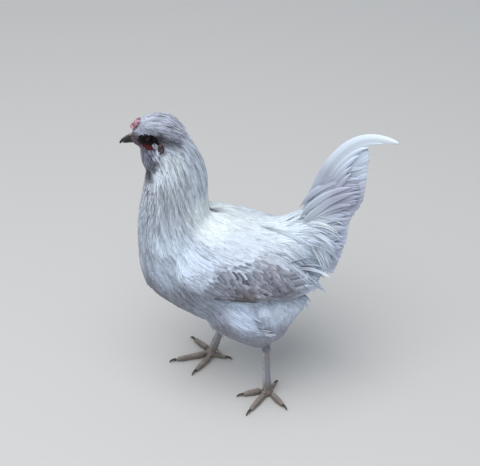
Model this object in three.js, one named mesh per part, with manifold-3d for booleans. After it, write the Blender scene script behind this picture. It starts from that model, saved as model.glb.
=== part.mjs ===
// A standing cockerel of a bearded, muffed, pea-combed breed, life size, as a still museum model.
// Millimetres, +Z up. The bird faces -X, so its left side is -Y. The floor is Z = 0.
import * as THREE from "three";
import { mergeVertices } from "three/addons/utils/BufferGeometryUtils.js";
import Module from "manifold-3d";

const wasm = await Module();
wasm.setup();

// ---------- driving dimensions ----------
const GAP = 0.3; // clearance between neighbouring pieces
const LEFT = -1;
const RIGHT = 1;
const EYE = { x: -125, y: 10.2, z: 446, radius: 5.4 };
const BEAK = { base: -146, tip: -166, height: 12, width: 5.2 };
const HOCK_HEIGHT = 97;
const HIP = { x: 32, y: 44, z: 212 }; // the drumstick's top, the same for either step of the walk
const SHANK_RADIUS = 5.2;
const PAD_RADIUS = 9;
const TOE_RADIUS = 5;
const TOE_SPREAD = 5; // how far the inner and outer toes start to either side of the middle one
const CLAW_LENGTH = 10;
const SICKLE_LENGTH = 230;
const VANE_THICKNESS = 1.6; // of a tail feather's solid

// The left leg stands back and upright, and the right one is a step ahead. Toe headings are degrees
// from straight ahead, positive towards the bird's left; lengths run from the toe's start to its claw.
const LEGS = [
  {
    name: "left",
    side: LEFT,
    pad: [42, -48],
    hock: [39, -50],
    toes: { 1: [-122, 25], 2: [13, 36], 3: [56, 50], 4: [127, 34] },
  },
  {
    name: "right",
    side: RIGHT,
    pad: [-46, 40],
    hock: [-12, 46],
    toes: { 1: [162, 27], 2: [54, 44], 3: [14, 60], 4: [-49, 42] },
  },
];

// Rings of the body, front to back: distance along X, keel, back and half-width.
const TRUNK = [
  [-149, 262, 262, 0],
  [-147, 216, 308, 16],
  [-139, 186, 319, 31],
  [-119, 167, 321, 49],
  [-89, 148, 322, 63],
  [-56, 129, 322, 71],
  [-18, 116, 318, 73],
  [16, 115, 302, 71],
  [38, 122, 296, 66],
  [60, 134, 297, 58],
  [80, 149, 308, 48],
  [97, 163, 319, 39],
  [112, 180, 312, 29],
  [123, 206, 290, 17],
  [129, 246, 246, 0],
];

// Rings of the neck, top to bottom: height, throat, nape and half-width.
const NECK = [
  [462, -96, -96, 0],
  [458, -112, -80, 16],
  [446, -122, -73, 24],
  [424, -127, -61, 29],
  [400, -130, -50, 33],
  [376, -134, -45, 36],
  [342, -141, -45, 42],
  [310, -147, -42, 51],
  [276, -147, -38, 60],
  [240, -138, -50, 52],
  [225, -95, -95, 0],
];

// Rings of the bare skull, beak to nape: distance along X, underside, top and half-width.
const SKULL = [
  [-151, 443, 443, 0],
  [-148, 433, 452, 6],
  [-139, 427, 461, 11],
  [-128, 423, 467, 14],
  [-114, 420, 471, 16],
  [-98, 420, 470, 18],
  [-84, 430, 462, 15],
  [-79, 446, 446, 0],
];

// Rings of the feathered crown, which overhangs the brow: distance along X, underside, top and half-width.
const CROWN = [
  [-140, 464, 464, 0],
  [-137, 458, 468.5, 7],
  [-128, 455, 474, 14],
  [-114, 452, 476.5, 19.5],
  [-98, 447, 472, 21.5],
  [-85, 437, 461, 21],
  [-76, 424, 443, 17],
  [-71, 431, 431, 0],
];

// Rings of the muffs and beard, top to bottom: height, front, back and half-width.
const MUFFS = [
  [443, -116, -116, 0],
  [440, -129, -106, 17],
  [431, -137, -100, 25],
  [420, -138, -97, 28],
  [407, -137, -99, 26],
  [395, -133.5, -105, 20],
  [385, -129, -112, 9],
  [381, -122, -122, 0],
];

// A folded wing, wrist to tip: distance along X, lower and upper edge, the distances of those edges
// from the midline, and the thickness.
const WING = [
  [-93, 255, 255, 60, 60, 2],
  [-88, 236, 275, 67, 59, 9],
  [-70, 222, 289, 73, 55, 13],
  [-38, 214, 295, 78, 52, 14],
  [0, 210, 290, 81, 49, 14],
  [36, 208, 279, 79, 47, 13],
  [70, 208, 261, 71, 50, 10],
  [97, 212, 241, 61, 47, 6],
  [113, 216, 226, 53, 47, 3],
  [118, 221, 221, 49, 49, 2],
];
const WING_BULGE = 17; // how far the wing's face bows outwards between its edges

// The feathered thigh and drumstick, top to hock: height, front and back past the hock, half-width.
const THIGH = [
  [HIP.z, 10, 10, 0],
  [206, -44, 58, 22],
  [186, -80, 67, 33],
  [162, -88, 51, 34],
  [142, -82, 37, 29],
  [130, -66, 33, 24],
  [120, -53, 24, 18],
  [111, -38, 10, 12],
  [104, -25, 7, 8],
  [100, -9, -9, 0],
];

// The mass of tail coverts, base to end: distance along the tail's axis, offset towards the back's
// side of it, half-depth in the upright plane and half-thickness.
const TAIL_BASE = new THREE.Vector3(80, 0, 262);
const TAIL_RISE = 57; // degrees of the tail's axis above level
const COVERTS = [
  [-16, 0, 0, 0],
  [-8, -1, 36, 24],
  [20, -4, 47, 27],
  [60, -5, 37, 19],
  [100, -2, 32, 12],
  [130, 4, 29, 8],
  [152, 10, 20, 4],
  [168, 15, 0, 0],
];

// Feathers of one side of the tail, top to bottom: start along and across the tail's axis, heading
// above level, length, turn along the length, half-width and distance from the midline at the tip.
const TAIL_FEATHERS = [
  [38, 14, 66, 150, -30, 14, 5],
  [32, 9, 60, 140, -26, 14, 8],
  [26, 3, 56, 126, -26, 14, 11],
  [20, -4, 52, 106, -30, 13, 14],
  [14, -10, 46, 80, -36, 12, 18],
  [8, -16, 40, 68, -44, 12, 21],
  [0, -24, 14, 56, -40, 11, 25],
  [-6, -28, -16, 60, -36, 9, 29],
];

// ---------- making solids ----------

// A smooth track through rows of numbers, by row number.
function track(rows) {
  const width = rows[0].length;
  const places = rows.map((_, i) => i);
  const curve = new THREE.CubicInterpolant(places, rows.flat(), width, new Float64Array(width));
  return (place) => [...curve.evaluate(place)];
}

// Rows between the first and the last of a table, `per` to each of its steps, with the ends as they are.
function between(rows, per) {
  const at = track(rows);
  const count = (rows.length - 1) * per;
  return Array.from({ length: count + 1 }, (_, i) => at(i / per));
}

// A manifold-3d solid from a closed three.js geometry.
function solidOf(geometry) {
  geometry.deleteAttribute("normal");
  geometry.deleteAttribute("uv");
  const merged = mergeVertices(geometry, 1e-4);
  return new wasm.Manifold(
    new wasm.Mesh({
      numProp: 3,
      vertProperties: merged.attributes.position.array,
      triVerts: new Uint32Array(merged.index.array),
    }),
  );
}

// A closed skin over loops of points that start and end in a pole. Either way round is accepted.
function skinOver(start, loops, end) {
  const points = [start, ...loops.flat(), end];
  const sides = loops[0].length;
  const faces = [];
  const at = (ring, i) => 1 + ring * sides + (i % sides);
  for (let i = 0; i < sides; i++) {
    faces.push(0, at(0, i + 1), at(0, i));
    faces.push(points.length - 1, at(loops.length - 1, i), at(loops.length - 1, i + 1));
    for (let ring = 0; ring + 1 < loops.length; ring++) {
      faces.push(at(ring, i), at(ring, i + 1), at(ring + 1, i));
      faces.push(at(ring, i + 1), at(ring + 1, i + 1), at(ring + 1, i));
    }
  }
  const geometry = new THREE.BufferGeometry().setFromPoints(points);
  if (signedVolume(points, faces) < 0) faces.reverse();
  return solidOf(geometry.setIndex(faces));
}

function signedVolume(points, faces) {
  let sum = 0;
  const cross = new THREE.Vector3();
  for (let i = 0; i < faces.length; i += 3) {
    cross.crossVectors(points[faces[i + 1]], points[faces[i + 2]]);
    sum += points[faces[i]].dot(cross);
  }
  return sum;
}

// An ellipse of points round a centre, between two half-axes given as vectors.
function ellipse(centre, first, second, sides) {
  return Array.from({ length: sides }, (_, i) => {
    const turn = (2 * Math.PI * (i + 0.5)) / sides;
    return centre.clone().addScaledVector(first, Math.cos(turn)).addScaledVector(second, Math.sin(turn));
  });
}

const grownPole = (pole, next, grow) =>
  pole.clone().addScaledVector(pole.clone().sub(next).normalize(), grow);

// A body of elliptical rings. place(row, grow) gives each ring's centre and half-axes.
function ringed(rows, per, sides, grow, place) {
  const rings = between(rows, per).map((row) => place(row, grow));
  const last = rings.length - 1;
  const loops = rings.slice(1, last).map((r) => ellipse(r.centre, r.first, r.second, sides));
  const start = grownPole(rings[0].centre, rings[1].centre, grow);
  const end = grownPole(rings[last].centre, rings[last - 1].centre, grow);
  return skinOver(start, loops, end);
}

// Rings square to X, from rows of distance, low, high and half-width.
const alongX = ([x, low, high, half], grow) => ({
  centre: new THREE.Vector3(x, 0, (low + high) / 2),
  first: new THREE.Vector3(0, half + grow, 0),
  second: new THREE.Vector3(0, 0, (high - low) / 2 + grow),
});

// Rings square to Z, from rows of height, front, back and half-width.
const alongZ = ([z, front, back, half], grow) => ({
  centre: new THREE.Vector3((front + back) / 2, 0, z),
  first: new THREE.Vector3((back - front) / 2 + grow, 0, 0),
  second: new THREE.Vector3(0, half + grow, 0),
});

// A tube of elliptical rings along a smooth path. size(share) gives the half-width and half-depth.
function limb(path, rings, sides, size, grow = 0, up = new THREE.Vector3(0, 0, 1)) {
  const curve = new THREE.CatmullRomCurve3(path);
  const loops = [];
  for (let i = 1; i < rings; i++) {
    const share = i / rings;
    const ahead = curve.getTangentAt(share);
    const across = new THREE.Vector3().crossVectors(ahead, up).normalize();
    const lift = new THREE.Vector3().crossVectors(across, ahead);
    const [wide, deep] = size(share);
    across.multiplyScalar(wide + grow);
    lift.multiplyScalar(deep + grow);
    loops.push(ellipse(curve.getPointAt(share), across, lift, sides));
  }
  const start = grownPole(path[0], curve.getPointAt(0.05), grow);
  const end = grownPole(path[path.length - 1], curve.getPointAt(0.95), grow);
  return skinOver(start, loops, end);
}

function ellipsoid(centre, halves, rings = 8, sides = 12) {
  const ball = new THREE.SphereGeometry(1, sides, rings);
  return solidOf(ball.scale(...halves).translate(...centre));
}

const joined = (solids) => solids.reduce((sum, next) => sum.add(next));
const cutBy = (solid, others) => others.reduce((rest, other) => rest.subtract(other), solid);

// Keeps what lies on the side that the plane's normal points to.
function above(solid, normal, through) {
  const n = normal.clone().normalize();
  return solid.trimByPlane(n.toArray(), n.dot(through) + GAP / 2);
}
const below = (solid, normal, through) => above(solid, normal.clone().negate(), through);

// ---------- trunk, neck and head ----------
const trunkForm = (grow = 0) => ringed(TRUNK, 1, 24, grow, alongX);
const neckForm = (grow = 0) => ringed(NECK, 1, 20, grow, alongZ);
const skullForm = (grow = 0) => ringed(SKULL, 2, 12, grow, alongX);
const crownForm = (grow = 0) => ringed(CROWN, 2, 14, grow, alongX);
const muffForm = (grow = 0) => ringed(MUFFS, 1, 16, grow, alongZ);

const NECK_ROOT = { normal: new THREE.Vector3(-0.33, 0, 1), through: new THREE.Vector3(-148, 0, 286) };
const THROAT = { normal: new THREE.Vector3(-0.66, 0, 0.75), through: new THREE.Vector3(-128, 0, 398) };

function eyeForm(side, grow = 0) {
  const r = EYE.radius + grow;
  return ellipsoid([EYE.x, side * EYE.y, EYE.z], [r, r * 0.9, r]);
}

function fleshPieces() {
  const flesh = joined([trunkForm(), neckForm(), skullForm(), crownForm()]);
  const upper = above(flesh, NECK_ROOT.normal, NECK_ROOT.through);
  const sockets = [LEFT, RIGHT].map((side) => eyeForm(side, GAP));
  const muffs = muffForm(GAP);
  return {
    trunk: below(flesh, NECK_ROOT.normal, NECK_ROOT.through),
    neck: cutBy(below(upper, THROAT.normal, THROAT.through), [muffs]),
    head: cutBy(above(upper, THROAT.normal, THROAT.through), [muffs, ...sockets]),
  };
}

// ---------- beak, comb, earlobes ----------
// The upper bill hooks down over the lower one; both meet along the gape.
function upperBeak(grow = 0) {
  const { base, tip, height, width } = BEAK;
  const path = [
    new THREE.Vector3(base + 4, 0, 443.5),
    new THREE.Vector3(base - 5, 0, 441.5),
    new THREE.Vector3(base - 13, 0, 437.5),
    new THREE.Vector3(tip, 0, 431),
  ];
  const size = (share) => [
    width * Math.pow(1 - share, 0.55) + 0.3,
    (height / 2) * Math.pow(1 - share, 0.6) + 0.3,
  ];
  return limb(path, 7, 12, size, grow);
}

function lowerBeak() {
  const { base, width } = BEAK;
  const path = [
    new THREE.Vector3(base + 4, 0, 435),
    new THREE.Vector3(base - 5, 0, 434.3),
    new THREE.Vector3(base - 15.5, 0, 432),
  ];
  const size = (share) => [0.86 * width * Math.pow(1 - share, 0.5) + 0.3, 4.2 * Math.pow(1 - share, 0.6) + 0.3];
  return cutBy(limb(path, 6, 10, size), [upperBeak(GAP), skullForm(GAP)]);
}

// A pea comb: three low rows of beads along the forehead, the middle one highest.
function comb() {
  const start = new THREE.Vector3(-148, 0, 457);
  const end = new THREE.Vector3(-137, 0, 470);
  const rows = [
    { y: 0, beads: 4, radius: 3.3, lift: 1.2 },
    { y: -3.8, beads: 3, radius: 2.8, lift: -1 },
    { y: 3.8, beads: 3, radius: 2.8, lift: -1 },
  ];
  const along = end.clone().sub(start).normalize();
  const out = new THREE.Vector3(-along.z, 0, along.x);
  const solids = [];
  for (const row of rows) {
    for (let i = 0; i < row.beads; i++) {
      const centre = start.clone().lerp(end, (i + 0.3) / (row.beads - 0.4)).addScaledVector(out, row.lift);
      const r = row.radius * (1 - 0.12 * Math.abs(i - 1.5));
      solids.push(ellipsoid([centre.x, row.y, centre.z], [r, r * 0.95, r], 4, 6));
    }
  }
  const ridge = start.clone().lerp(end, 0.5);
  const length = start.distanceTo(end) / 2;
  const bed = ellipsoid([0, 0, 0], [length, 5.4, 3], 6, 10)
    .rotate([0, -THREE.MathUtils.radToDeg(Math.atan2(along.z, along.x)), 0])
    .translate([ridge.x, 0, ridge.z]);
  return cutBy(joined([bed, ...solids]), [skullForm(GAP), crownForm(GAP), upperBeak(GAP)]);
}

function earlobe(side) {
  const form = ellipsoid([-107.5, side * 25, 436.5], [4.8, 4.8, 8.5], 7, 10);
  return cutBy(form, [skullForm(GAP), crownForm(GAP), muffForm(GAP), neckForm(GAP)]);
}

// ---------- wings ----------
const WING_STRIPS = 5;

// One section of a wing: up its outer face and down its inner one.
function wingLoop([x, low, high, lowOut, highOut, thickness], side) {
  const outer = [];
  const inner = [];
  for (let i = 0; i <= WING_STRIPS; i++) {
    const share = i / WING_STRIPS;
    const arch = 4 * share * (1 - share);
    const bow = lowOut + (highOut - lowOut) * share + WING_BULGE * arch * Math.min(1, thickness / 8);
    const z = low + (high - low) * share;
    const thick = 1 + (thickness - 1) * Math.sqrt(Math.max(0, arch));
    outer.push(new THREE.Vector3(x, side * bow, z));
    inner.push(new THREE.Vector3(x, side * (bow - thick), z));
  }
  return [...outer, ...inner.reverse()];
}

function wingForm(side) {
  const pole = ([x, low, , out]) => new THREE.Vector3(x, side * out, low);
  const loops = WING.slice(1, -1).map((row) => wingLoop(row, side));
  return skinOver(pole(WING[0]), loops, pole(WING[WING.length - 1]));
}

// ---------- legs ----------
function thighForm(leg, grow = 0) {
  const [x, y] = leg.hock;
  const place = ([z, front, back, half], g) => {
    const rise = (z - HOCK_HEIGHT) / (HIP.z - HOCK_HEIGHT);
    return {
      centre: new THREE.Vector3(
        x + (HIP.x - x) * rise + (front + back) / 2,
        y + (leg.side * HIP.y - y) * rise,
        z,
      ),
      first: new THREE.Vector3((back - front) / 2 + g, 0, 0),
      second: new THREE.Vector3(0, half + g, 0),
    };
  };
  return ringed(THIGH, 1, 16, grow, place);
}

function shankForm(leg, grow = 0) {
  const top = new THREE.Vector3(leg.hock[0], leg.hock[1], HOCK_HEIGHT + 10);
  const foot = new THREE.Vector3(leg.pad[0], leg.pad[1], 5);
  const middle = top.clone().lerp(foot, 0.5);
  const size = (share) => {
    const knob = Math.exp(-Math.pow((share - 0.04) / 0.1, 2));
    const flare = Math.exp(-Math.pow((share - 0.9) / 0.2, 2));
    const base = SHANK_RADIUS * Math.min(1, 6 * share) * Math.min(1, 9 * (1 - share));
    return [base + 1.6 * knob + 1.6 * flare, base + 2 * knob + 1.6 * flare];
  };
  return limb([top, middle, foot], 10, 8, size, grow, new THREE.Vector3(-1, 0, 0));
}

const padForm = (leg, grow = 0) =>
  ellipsoid(
    [leg.pad[0], leg.pad[1], 6.5],
    [PAD_RADIUS + grow, PAD_RADIUS + grow, 8 + grow],
    6,
    10,
  );

const FLOOR = new THREE.Vector3(0, 0, 1);
const onFloor = (solid) => solid.trimByPlane(FLOOR.toArray(), 0);

function footForm(leg) {
  return onFloor(cutBy(joined([shankForm(leg), padForm(leg)]), [thighForm(leg, GAP)]));
}

function toeHeading(degrees) {
  const turn = THREE.MathUtils.degToRad(degrees);
  return new THREE.Vector3(-Math.cos(turn), -Math.sin(turn), 0);
}

// Where a toe starts: the inner and outer toes leave the pad beside the middle one.
function toeStart(leg, number) {
  const [middle] = leg.toes[3];
  const [heading] = leg.toes[number];
  const pad = new THREE.Vector3(leg.pad[0], leg.pad[1], 0);
  if (number === "1" || number === "3") return pad;
  return pad.addScaledVector(toeHeading(middle + 90 * Math.sign(heading - middle)), TOE_SPREAD);
}

// A toe runs from the pad along the floor, and its joints swell a little.
function toeForm(leg, number, grow = 0) {
  const [heading, length] = leg.toes[number];
  const ahead = toeHeading(heading);
  const pad = toeStart(leg, number);
  const thin = number === "1" ? 0.8 : 1;
  const radius = TOE_RADIUS * thin;
  const place = (far, height) => pad.clone().addScaledVector(ahead, far).setZ(height);
  const path = [
    place(4, radius * 1.25),
    place(length * 0.35, radius * 1.05),
    place(length * 0.7, radius * 0.86),
    place(length, radius * 0.72),
  ];
  const joints = length > 55 ? 3 : 2;
  const size = (share) => {
    const swell = 1 + 0.09 * Math.cos(2 * Math.PI * joints * share);
    const taper = (1 - 0.32 * share) * Math.min(1, 7 * (1 - share) + 0.15);
    return [radius * taper * swell, radius * taper * swell];
  };
  return limb(path, 7, 8, size, grow);
}

function toe(leg, number) {
  const others = Object.keys(leg.toes).filter((n) => n < number);
  const neighbours = others.map((n) => toeForm(leg, n, GAP));
  return onFloor(cutBy(toeForm(leg, number), [padForm(leg, GAP), shankForm(leg, GAP), ...neighbours]));
}

function claw(leg, number) {
  const [heading, length] = leg.toes[number];
  const ahead = toeHeading(heading);
  const pad = toeStart(leg, number);
  const place = (far, height) => pad.clone().addScaledVector(ahead, length + far).setZ(height);
  const path = [
    place(-3, 4),
    place(CLAW_LENGTH * 0.3, 4.4),
    place(CLAW_LENGTH * 0.65, 3),
    place(CLAW_LENGTH * 0.85, 0.9),
  ];
  const size = (share) => [2.5 * Math.pow(1 - share, 0.7) + 0.25, 2.9 * Math.pow(1 - share, 0.7) + 0.25];
  return onFloor(cutBy(limb(path, 5, 6, size), [toeForm(leg, number, GAP)]));
}

// ---------- tail ----------
// The direction in the bird's own upright plane that climbs by so many degrees towards its rear.
function climb(degrees) {
  const slope = THREE.MathUtils.degToRad(degrees);
  return new THREE.Vector3(Math.cos(slope), 0, Math.sin(slope));
}

const tailAxis = climb(TAIL_RISE);
const tailAcross = climb(TAIL_RISE + 90);

const tailPlace = (along, across) =>
  TAIL_BASE.clone().addScaledVector(tailAxis, along).addScaledVector(tailAcross, across);

const covertForm = (grow = 0) =>
  ringed(COVERTS, 1, 16, grow, ([along, across, depth, half], g) => ({
    centre: tailPlace(along, across),
    first: tailAcross.clone().multiplyScalar(depth + g),
    second: new THREE.Vector3(0, half + g, 0),
  }));

// A feather's vane in an upright plane: it starts at `from`, climbs at `heading` and turns as it goes,
// more of it towards the tip the larger `late` is.
function vane(shape, grow = 0) {
  const { from, heading, length, turn, late, halfWidth, outFrom, outTo, side, tip, rings } = shape;
  const aheadAt = (share) => climb(heading + turn * Math.pow(share, late));
  const loops = [];
  const at = from.clone();
  at.y = side * outFrom;
  const root = at.clone();
  for (let i = 1; i < rings; i++) {
    const share = i / rings;
    at.addScaledVector(aheadAt(share - 0.5 / rings), length / rings);
    at.y = side * (outFrom + (outTo - outFrom) * share);
    const broad = Math.min(0.45 + 1.4 * share, 1) * Math.min(1, Math.pow((1 - share) / tip, 0.5));
    const ahead = aheadAt(share);
    const across = new THREE.Vector3(-ahead.z, 0, ahead.x).multiplyScalar(halfWidth * broad + grow);
    const thick = new THREE.Vector3(0, VANE_THICKNESS / 2 + grow, 0);
    loops.push(ellipse(at, across, thick, 4));
  }
  at.addScaledVector(aheadAt(1), length / rings);
  return skinOver(root, loops, at);
}

function tailVanes(side, grow = 0) {
  return TAIL_FEATHERS.map(([along, across, heading, length, turn, halfWidth, outTo]) => {
    const from = tailPlace(along, across);
    return vane(
      { from, heading, length, turn, late: 1.35, halfWidth, outFrom: 6, outTo, side, tip: 0.35, rings: 6 },
      grow,
    );
  });
}

const tailForm = (grow = 0) => joined([covertForm(grow), ...tailVanes(LEFT, grow), ...tailVanes(RIGHT, grow)]);

// The two long curved sickles ride over the top of the tail.
function sickle(side) {
  const form = vane({
    from: new THREE.Vector3(89.5, 0, 292),
    heading: side === LEFT ? 79 : 76,
    length: side === LEFT ? SICKLE_LENGTH : SICKLE_LENGTH * 0.9,
    turn: -118,
    late: 2.4,
    halfWidth: 11,
    outFrom: 3,
    outTo: 4.5,
    side,
    tip: 0.3,
    rings: 16,
  });
  return cutBy(form, [tailForm(GAP), trunkForm(GAP)]);
}

// ---------- the whole bird ----------
function meshOf(name, solid, material) {
  const mesh = solid.getMesh();
  const geometry = new THREE.BufferGeometry();
  geometry.setAttribute("position", new THREE.BufferAttribute(mesh.vertProperties, 3));
  geometry.setIndex(new THREE.BufferAttribute(mesh.triVerts, 1));
  geometry.computeVertexNormals();
  const made = new THREE.Mesh(geometry, material);
  made.name = name;
  return made;
}

const finish = (color, roughness) => new THREE.MeshStandardMaterial({ color, roughness, metalness: 0 });
const PLUMAGE = finish(0xbfc4d0, 0.85);
const CROWN_GREY = finish(0x9c9aa6, 0.85);
const WING_GREY = finish(0xa39da6, 0.8);
const SLATE = finish(0x6f7480, 0.6);
const HORN = finish(0x8d8a80, 0.45);
const CLAW_HORN = finish(0x4a443d, 0.45);
const RED_SKIN = finish(0xa0343c, 0.6);
const EYE_GLASS = finish(0x3a1a10, 0.1);

const largest = (solid) =>
  solid.decompose().reduce((best, next) => (next.volume() > best.volume() ? next : best));

const bird = new THREE.Group();
const add = (name, solid, material) => bird.add(meshOf(name, largest(solid), material));

const flesh = fleshPieces();
add("trunk", flesh.trunk, PLUMAGE);
add("neck", flesh.neck, PLUMAGE);
add("head", flesh.head, CROWN_GREY);
add("muffs", cutBy(muffForm(), [upperBeak(GAP)]), CROWN_GREY);
add("beak_upper", cutBy(upperBeak(), [skullForm(GAP), muffForm(GAP)]), HORN);
add("beak_lower", cutBy(lowerBeak(), [muffForm(GAP)]), HORN);
add("comb", comb(), RED_SKIN);
add("tail", cutBy(tailForm(), [trunkForm(GAP)]), PLUMAGE);

for (const [name, side] of [["left", LEFT], ["right", RIGHT]]) {
  add("eye_" + name, eyeForm(side), EYE_GLASS);
  add("earlobe_" + name, earlobe(side), RED_SKIN);
  add("sickle_" + name, sickle(side), PLUMAGE);
  const thighs = LEGS.map((leg) => thighForm(leg, GAP));
  add("wing_" + name, cutBy(wingForm(side), [trunkForm(GAP), neckForm(GAP), covertForm(GAP), ...thighs]), WING_GREY);
}

for (const leg of LEGS) {
  add("thigh_" + leg.name, cutBy(thighForm(leg), [trunkForm(GAP)]), PLUMAGE);
  add("shank_" + leg.name, footForm(leg), SLATE);
  for (const number of Object.keys(leg.toes)) {
    add("toe_" + leg.name + "_" + number, toe(leg, number), SLATE);
    add("claw_" + leg.name + "_" + number, claw(leg, number), CLAW_HORN);
  }
}

// The origin is on the floor, under the middle of the bird's box.
const box = new THREE.Box3().setFromObject(bird);
const centre = box.getCenter(new THREE.Vector3());
bird.position.set(-centre.x, -centre.y, 0);

export default bird;
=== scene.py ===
# %% [markdown]
# # A standing cockerel, feather by feather
#
# The bird is a young cockerel of a bearded, pea-combed breed with self-blue plumage.
# The CAD solids give its true outline, out to the tips of the feathers.
# Here a bare skin is made a little inside those solids, and feathers are laid over it in the
# direction they grow, so that their tips just reach the outline.
# The first cell loads the solids as a fixed frame, and gives the box of any one of them.

# %% Load the frame
import math

import bmesh
import bpy
import numpy as np
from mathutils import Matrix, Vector
from mathutils.bvhtree import BVHTree
from mathutils.kdtree import KDTree


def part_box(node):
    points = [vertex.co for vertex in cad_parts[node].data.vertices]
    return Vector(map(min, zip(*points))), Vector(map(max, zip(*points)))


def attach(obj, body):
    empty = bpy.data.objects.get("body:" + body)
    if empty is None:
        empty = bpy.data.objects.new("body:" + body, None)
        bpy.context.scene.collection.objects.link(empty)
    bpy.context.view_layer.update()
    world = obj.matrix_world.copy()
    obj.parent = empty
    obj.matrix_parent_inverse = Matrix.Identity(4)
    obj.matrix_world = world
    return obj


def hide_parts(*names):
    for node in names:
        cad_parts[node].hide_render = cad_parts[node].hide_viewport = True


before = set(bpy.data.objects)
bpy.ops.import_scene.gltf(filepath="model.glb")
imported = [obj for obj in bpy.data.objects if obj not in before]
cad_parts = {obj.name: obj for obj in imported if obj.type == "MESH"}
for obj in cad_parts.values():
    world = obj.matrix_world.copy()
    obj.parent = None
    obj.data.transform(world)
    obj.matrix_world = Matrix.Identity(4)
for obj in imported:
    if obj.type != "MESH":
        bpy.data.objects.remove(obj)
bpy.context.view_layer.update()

print("nodes:", len(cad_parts))

# %% [markdown]
# A bird is easier to describe in a body plan of its own. The plan is in millimetres: X runs from
# the beak back to the tail, Y is 0 on the midline and negative on the bird's left, and Z is the
# height above the ground. One fact ties it to the model: the eyes lie at X -125 and Z 446.

# %% The body plan
MM = 0.001
LEFT = -1
RIGHT = 1
SIDES = {"left": LEFT, "right": RIGHT}


def middle(node):
    low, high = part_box(node)
    return (np.array(low) + np.array(high)) / 2


EYE_PLAN = np.array([-125.0, 0.0, 446.0])
PLAN_ORIGIN = (middle("eye_left") + middle("eye_right")) / 2 - EYE_PLAN * MM


def to_model(points):
    return np.asarray(points) * MM + PLAN_ORIGIN


def to_plan(points):
    return (np.asarray(points) - PLAN_ORIGIN) / MM


print("plan origin in the model:", PLAN_ORIGIN.round(4))

# %% [markdown]
# Small pieces of vector arithmetic come up again and again. They work on whole arrays of
# points, because a bird has thousands of feathers and a loop over them would be slow.

# %% Arithmetic on arrays of points


def unit(vectors):
    size = np.linalg.norm(vectors, axis=-1, keepdims=True)
    return vectors / np.maximum(size, 1e-9)


def dot(a, b):
    return np.sum(a * b, axis=-1, keepdims=True)


def flatten_to(normals, vectors):
    """The part of each vector that lies in the surface with that normal, at length 1."""
    return unit(vectors - dot(vectors, normals) * normals)


def ease(value, start, end):
    """0 before start, 1 after end, and smooth between."""
    share = np.clip((np.asarray(value, float) - start) / (end - start), 0, 1)
    return share * share * (3 - 2 * share)


def through(points, steps):
    """Evenly spaced places along a smooth line through the points."""
    fine = np.linspace(0, len(points) - 1, 400)
    before = np.clip(fine.astype(int), 0, len(points) - 2)
    t = (fine - before)[:, None]
    padded = np.concatenate([[2 * points[0] - points[1]], points, [2 * points[-1] - points[-2]]])
    p0, p1, p2, p3 = (padded[before + k] for k in range(4))
    bend = 2 * p0 - 5 * p1 + 4 * p2 - p3
    twist = 3 * p1 - p0 - 3 * p2 + p3
    line = 0.5 * (2 * p1 + (p2 - p0) * t + bend * t**2 + twist * t**3)
    run = np.concatenate([[0], np.cumsum(np.linalg.norm(np.diff(line, axis=0), axis=1))])
    at = np.linspace(0, run[-1], steps + 1)
    return np.stack([np.interp(at, run, line[:, k]) for k in range(line.shape[1])], axis=1)


def paint(red, green, blue):
    """A colour as shown on a screen, 0 to 255, as the linear light that shaders use."""
    picked = np.array([red, green, blue]) / 255
    return np.where(picked > 0.04045, ((picked + 0.055) / 1.055) ** 2.4, picked / 12.92)


print("a middle grey as linear light:", paint(128, 128, 128).round(3))

# %% [markdown]
# Meshes made from arrays go into Blender in one call for each list, which is far quicker than
# adding faces one at a time. A mesh here may mix four-sided and three-sided faces.

# %% From arrays to mesh objects


def object_of(name, mesh):
    made = bpy.data.objects.new(name, mesh)
    bpy.context.scene.collection.objects.link(made)
    return made


def mesh_from(name, points, quads, triangles):
    """A smooth-shaded mesh, and the point at each corner of its faces."""
    mesh = bpy.data.meshes.new(name)
    corners = np.concatenate([np.ravel(quads), np.ravel(triangles)]).astype(np.int32)
    sizes = np.concatenate([np.full(len(quads), 4), np.full(len(triangles), 3)]).astype(np.int32)
    starts = np.concatenate([[0], np.cumsum(sizes)[:-1]]).astype(np.int32)
    mesh.vertices.add(len(points))
    mesh.vertices.foreach_set("co", to_model(points).astype(np.float32).ravel())
    mesh.loops.add(len(corners))
    mesh.loops.foreach_set("vertex_index", corners)
    mesh.polygons.add(len(sizes))
    mesh.polygons.foreach_set("loop_start", starts)
    mesh.polygons.foreach_set("use_smooth", np.full(len(sizes), True))
    mesh.update(calc_edges=True)
    return mesh, corners


def threes(items, field, kind=np.float32):
    """A field of every item in a mesh's list, as rows of three numbers."""
    flat = np.empty(len(items) * 3, kind)
    items.foreach_get(field, flat)
    return flat.reshape(-1, 3)


def points_of(mesh):
    return threes(mesh.vertices, "co").astype(float)


def keep_colour(mesh, name, colours):
    """Stores one colour for each vertex under a name that a shader can read."""
    layer = mesh.attributes.new(name, "FLOAT_COLOR", "POINT")
    full = np.ones((len(colours), 4), np.float32)
    full[:, :3] = colours
    layer.data.foreach_set("color", full.ravel())


def keep_vector(mesh, name, vectors):
    layer = mesh.attributes.new(name, "FLOAT_VECTOR", "POINT")
    layer.data.foreach_set("vector", np.asarray(vectors, np.float32).ravel())


def move_points(mesh, points):
    mesh.vertices.foreach_set("co", points.astype(np.float32).ravel())
    mesh.update()


def baked(source, name):
    """The object's mesh with its modifiers applied, as a mesh of its own."""
    view = source.evaluated_get(bpy.context.evaluated_depsgraph_get())
    made = bpy.data.meshes.new_from_object(view)
    made.name = name
    return made


def dressed(made, material):
    """Gives a piece its material and says how large it is."""
    made.data.materials.append(material)
    print(made.name + ":", len(made.data.loops) - 2 * len(made.data.polygons), "triangles")
    return made


print("the trunk's solid has", len(points_of(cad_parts["trunk"].data)), "points")

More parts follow.
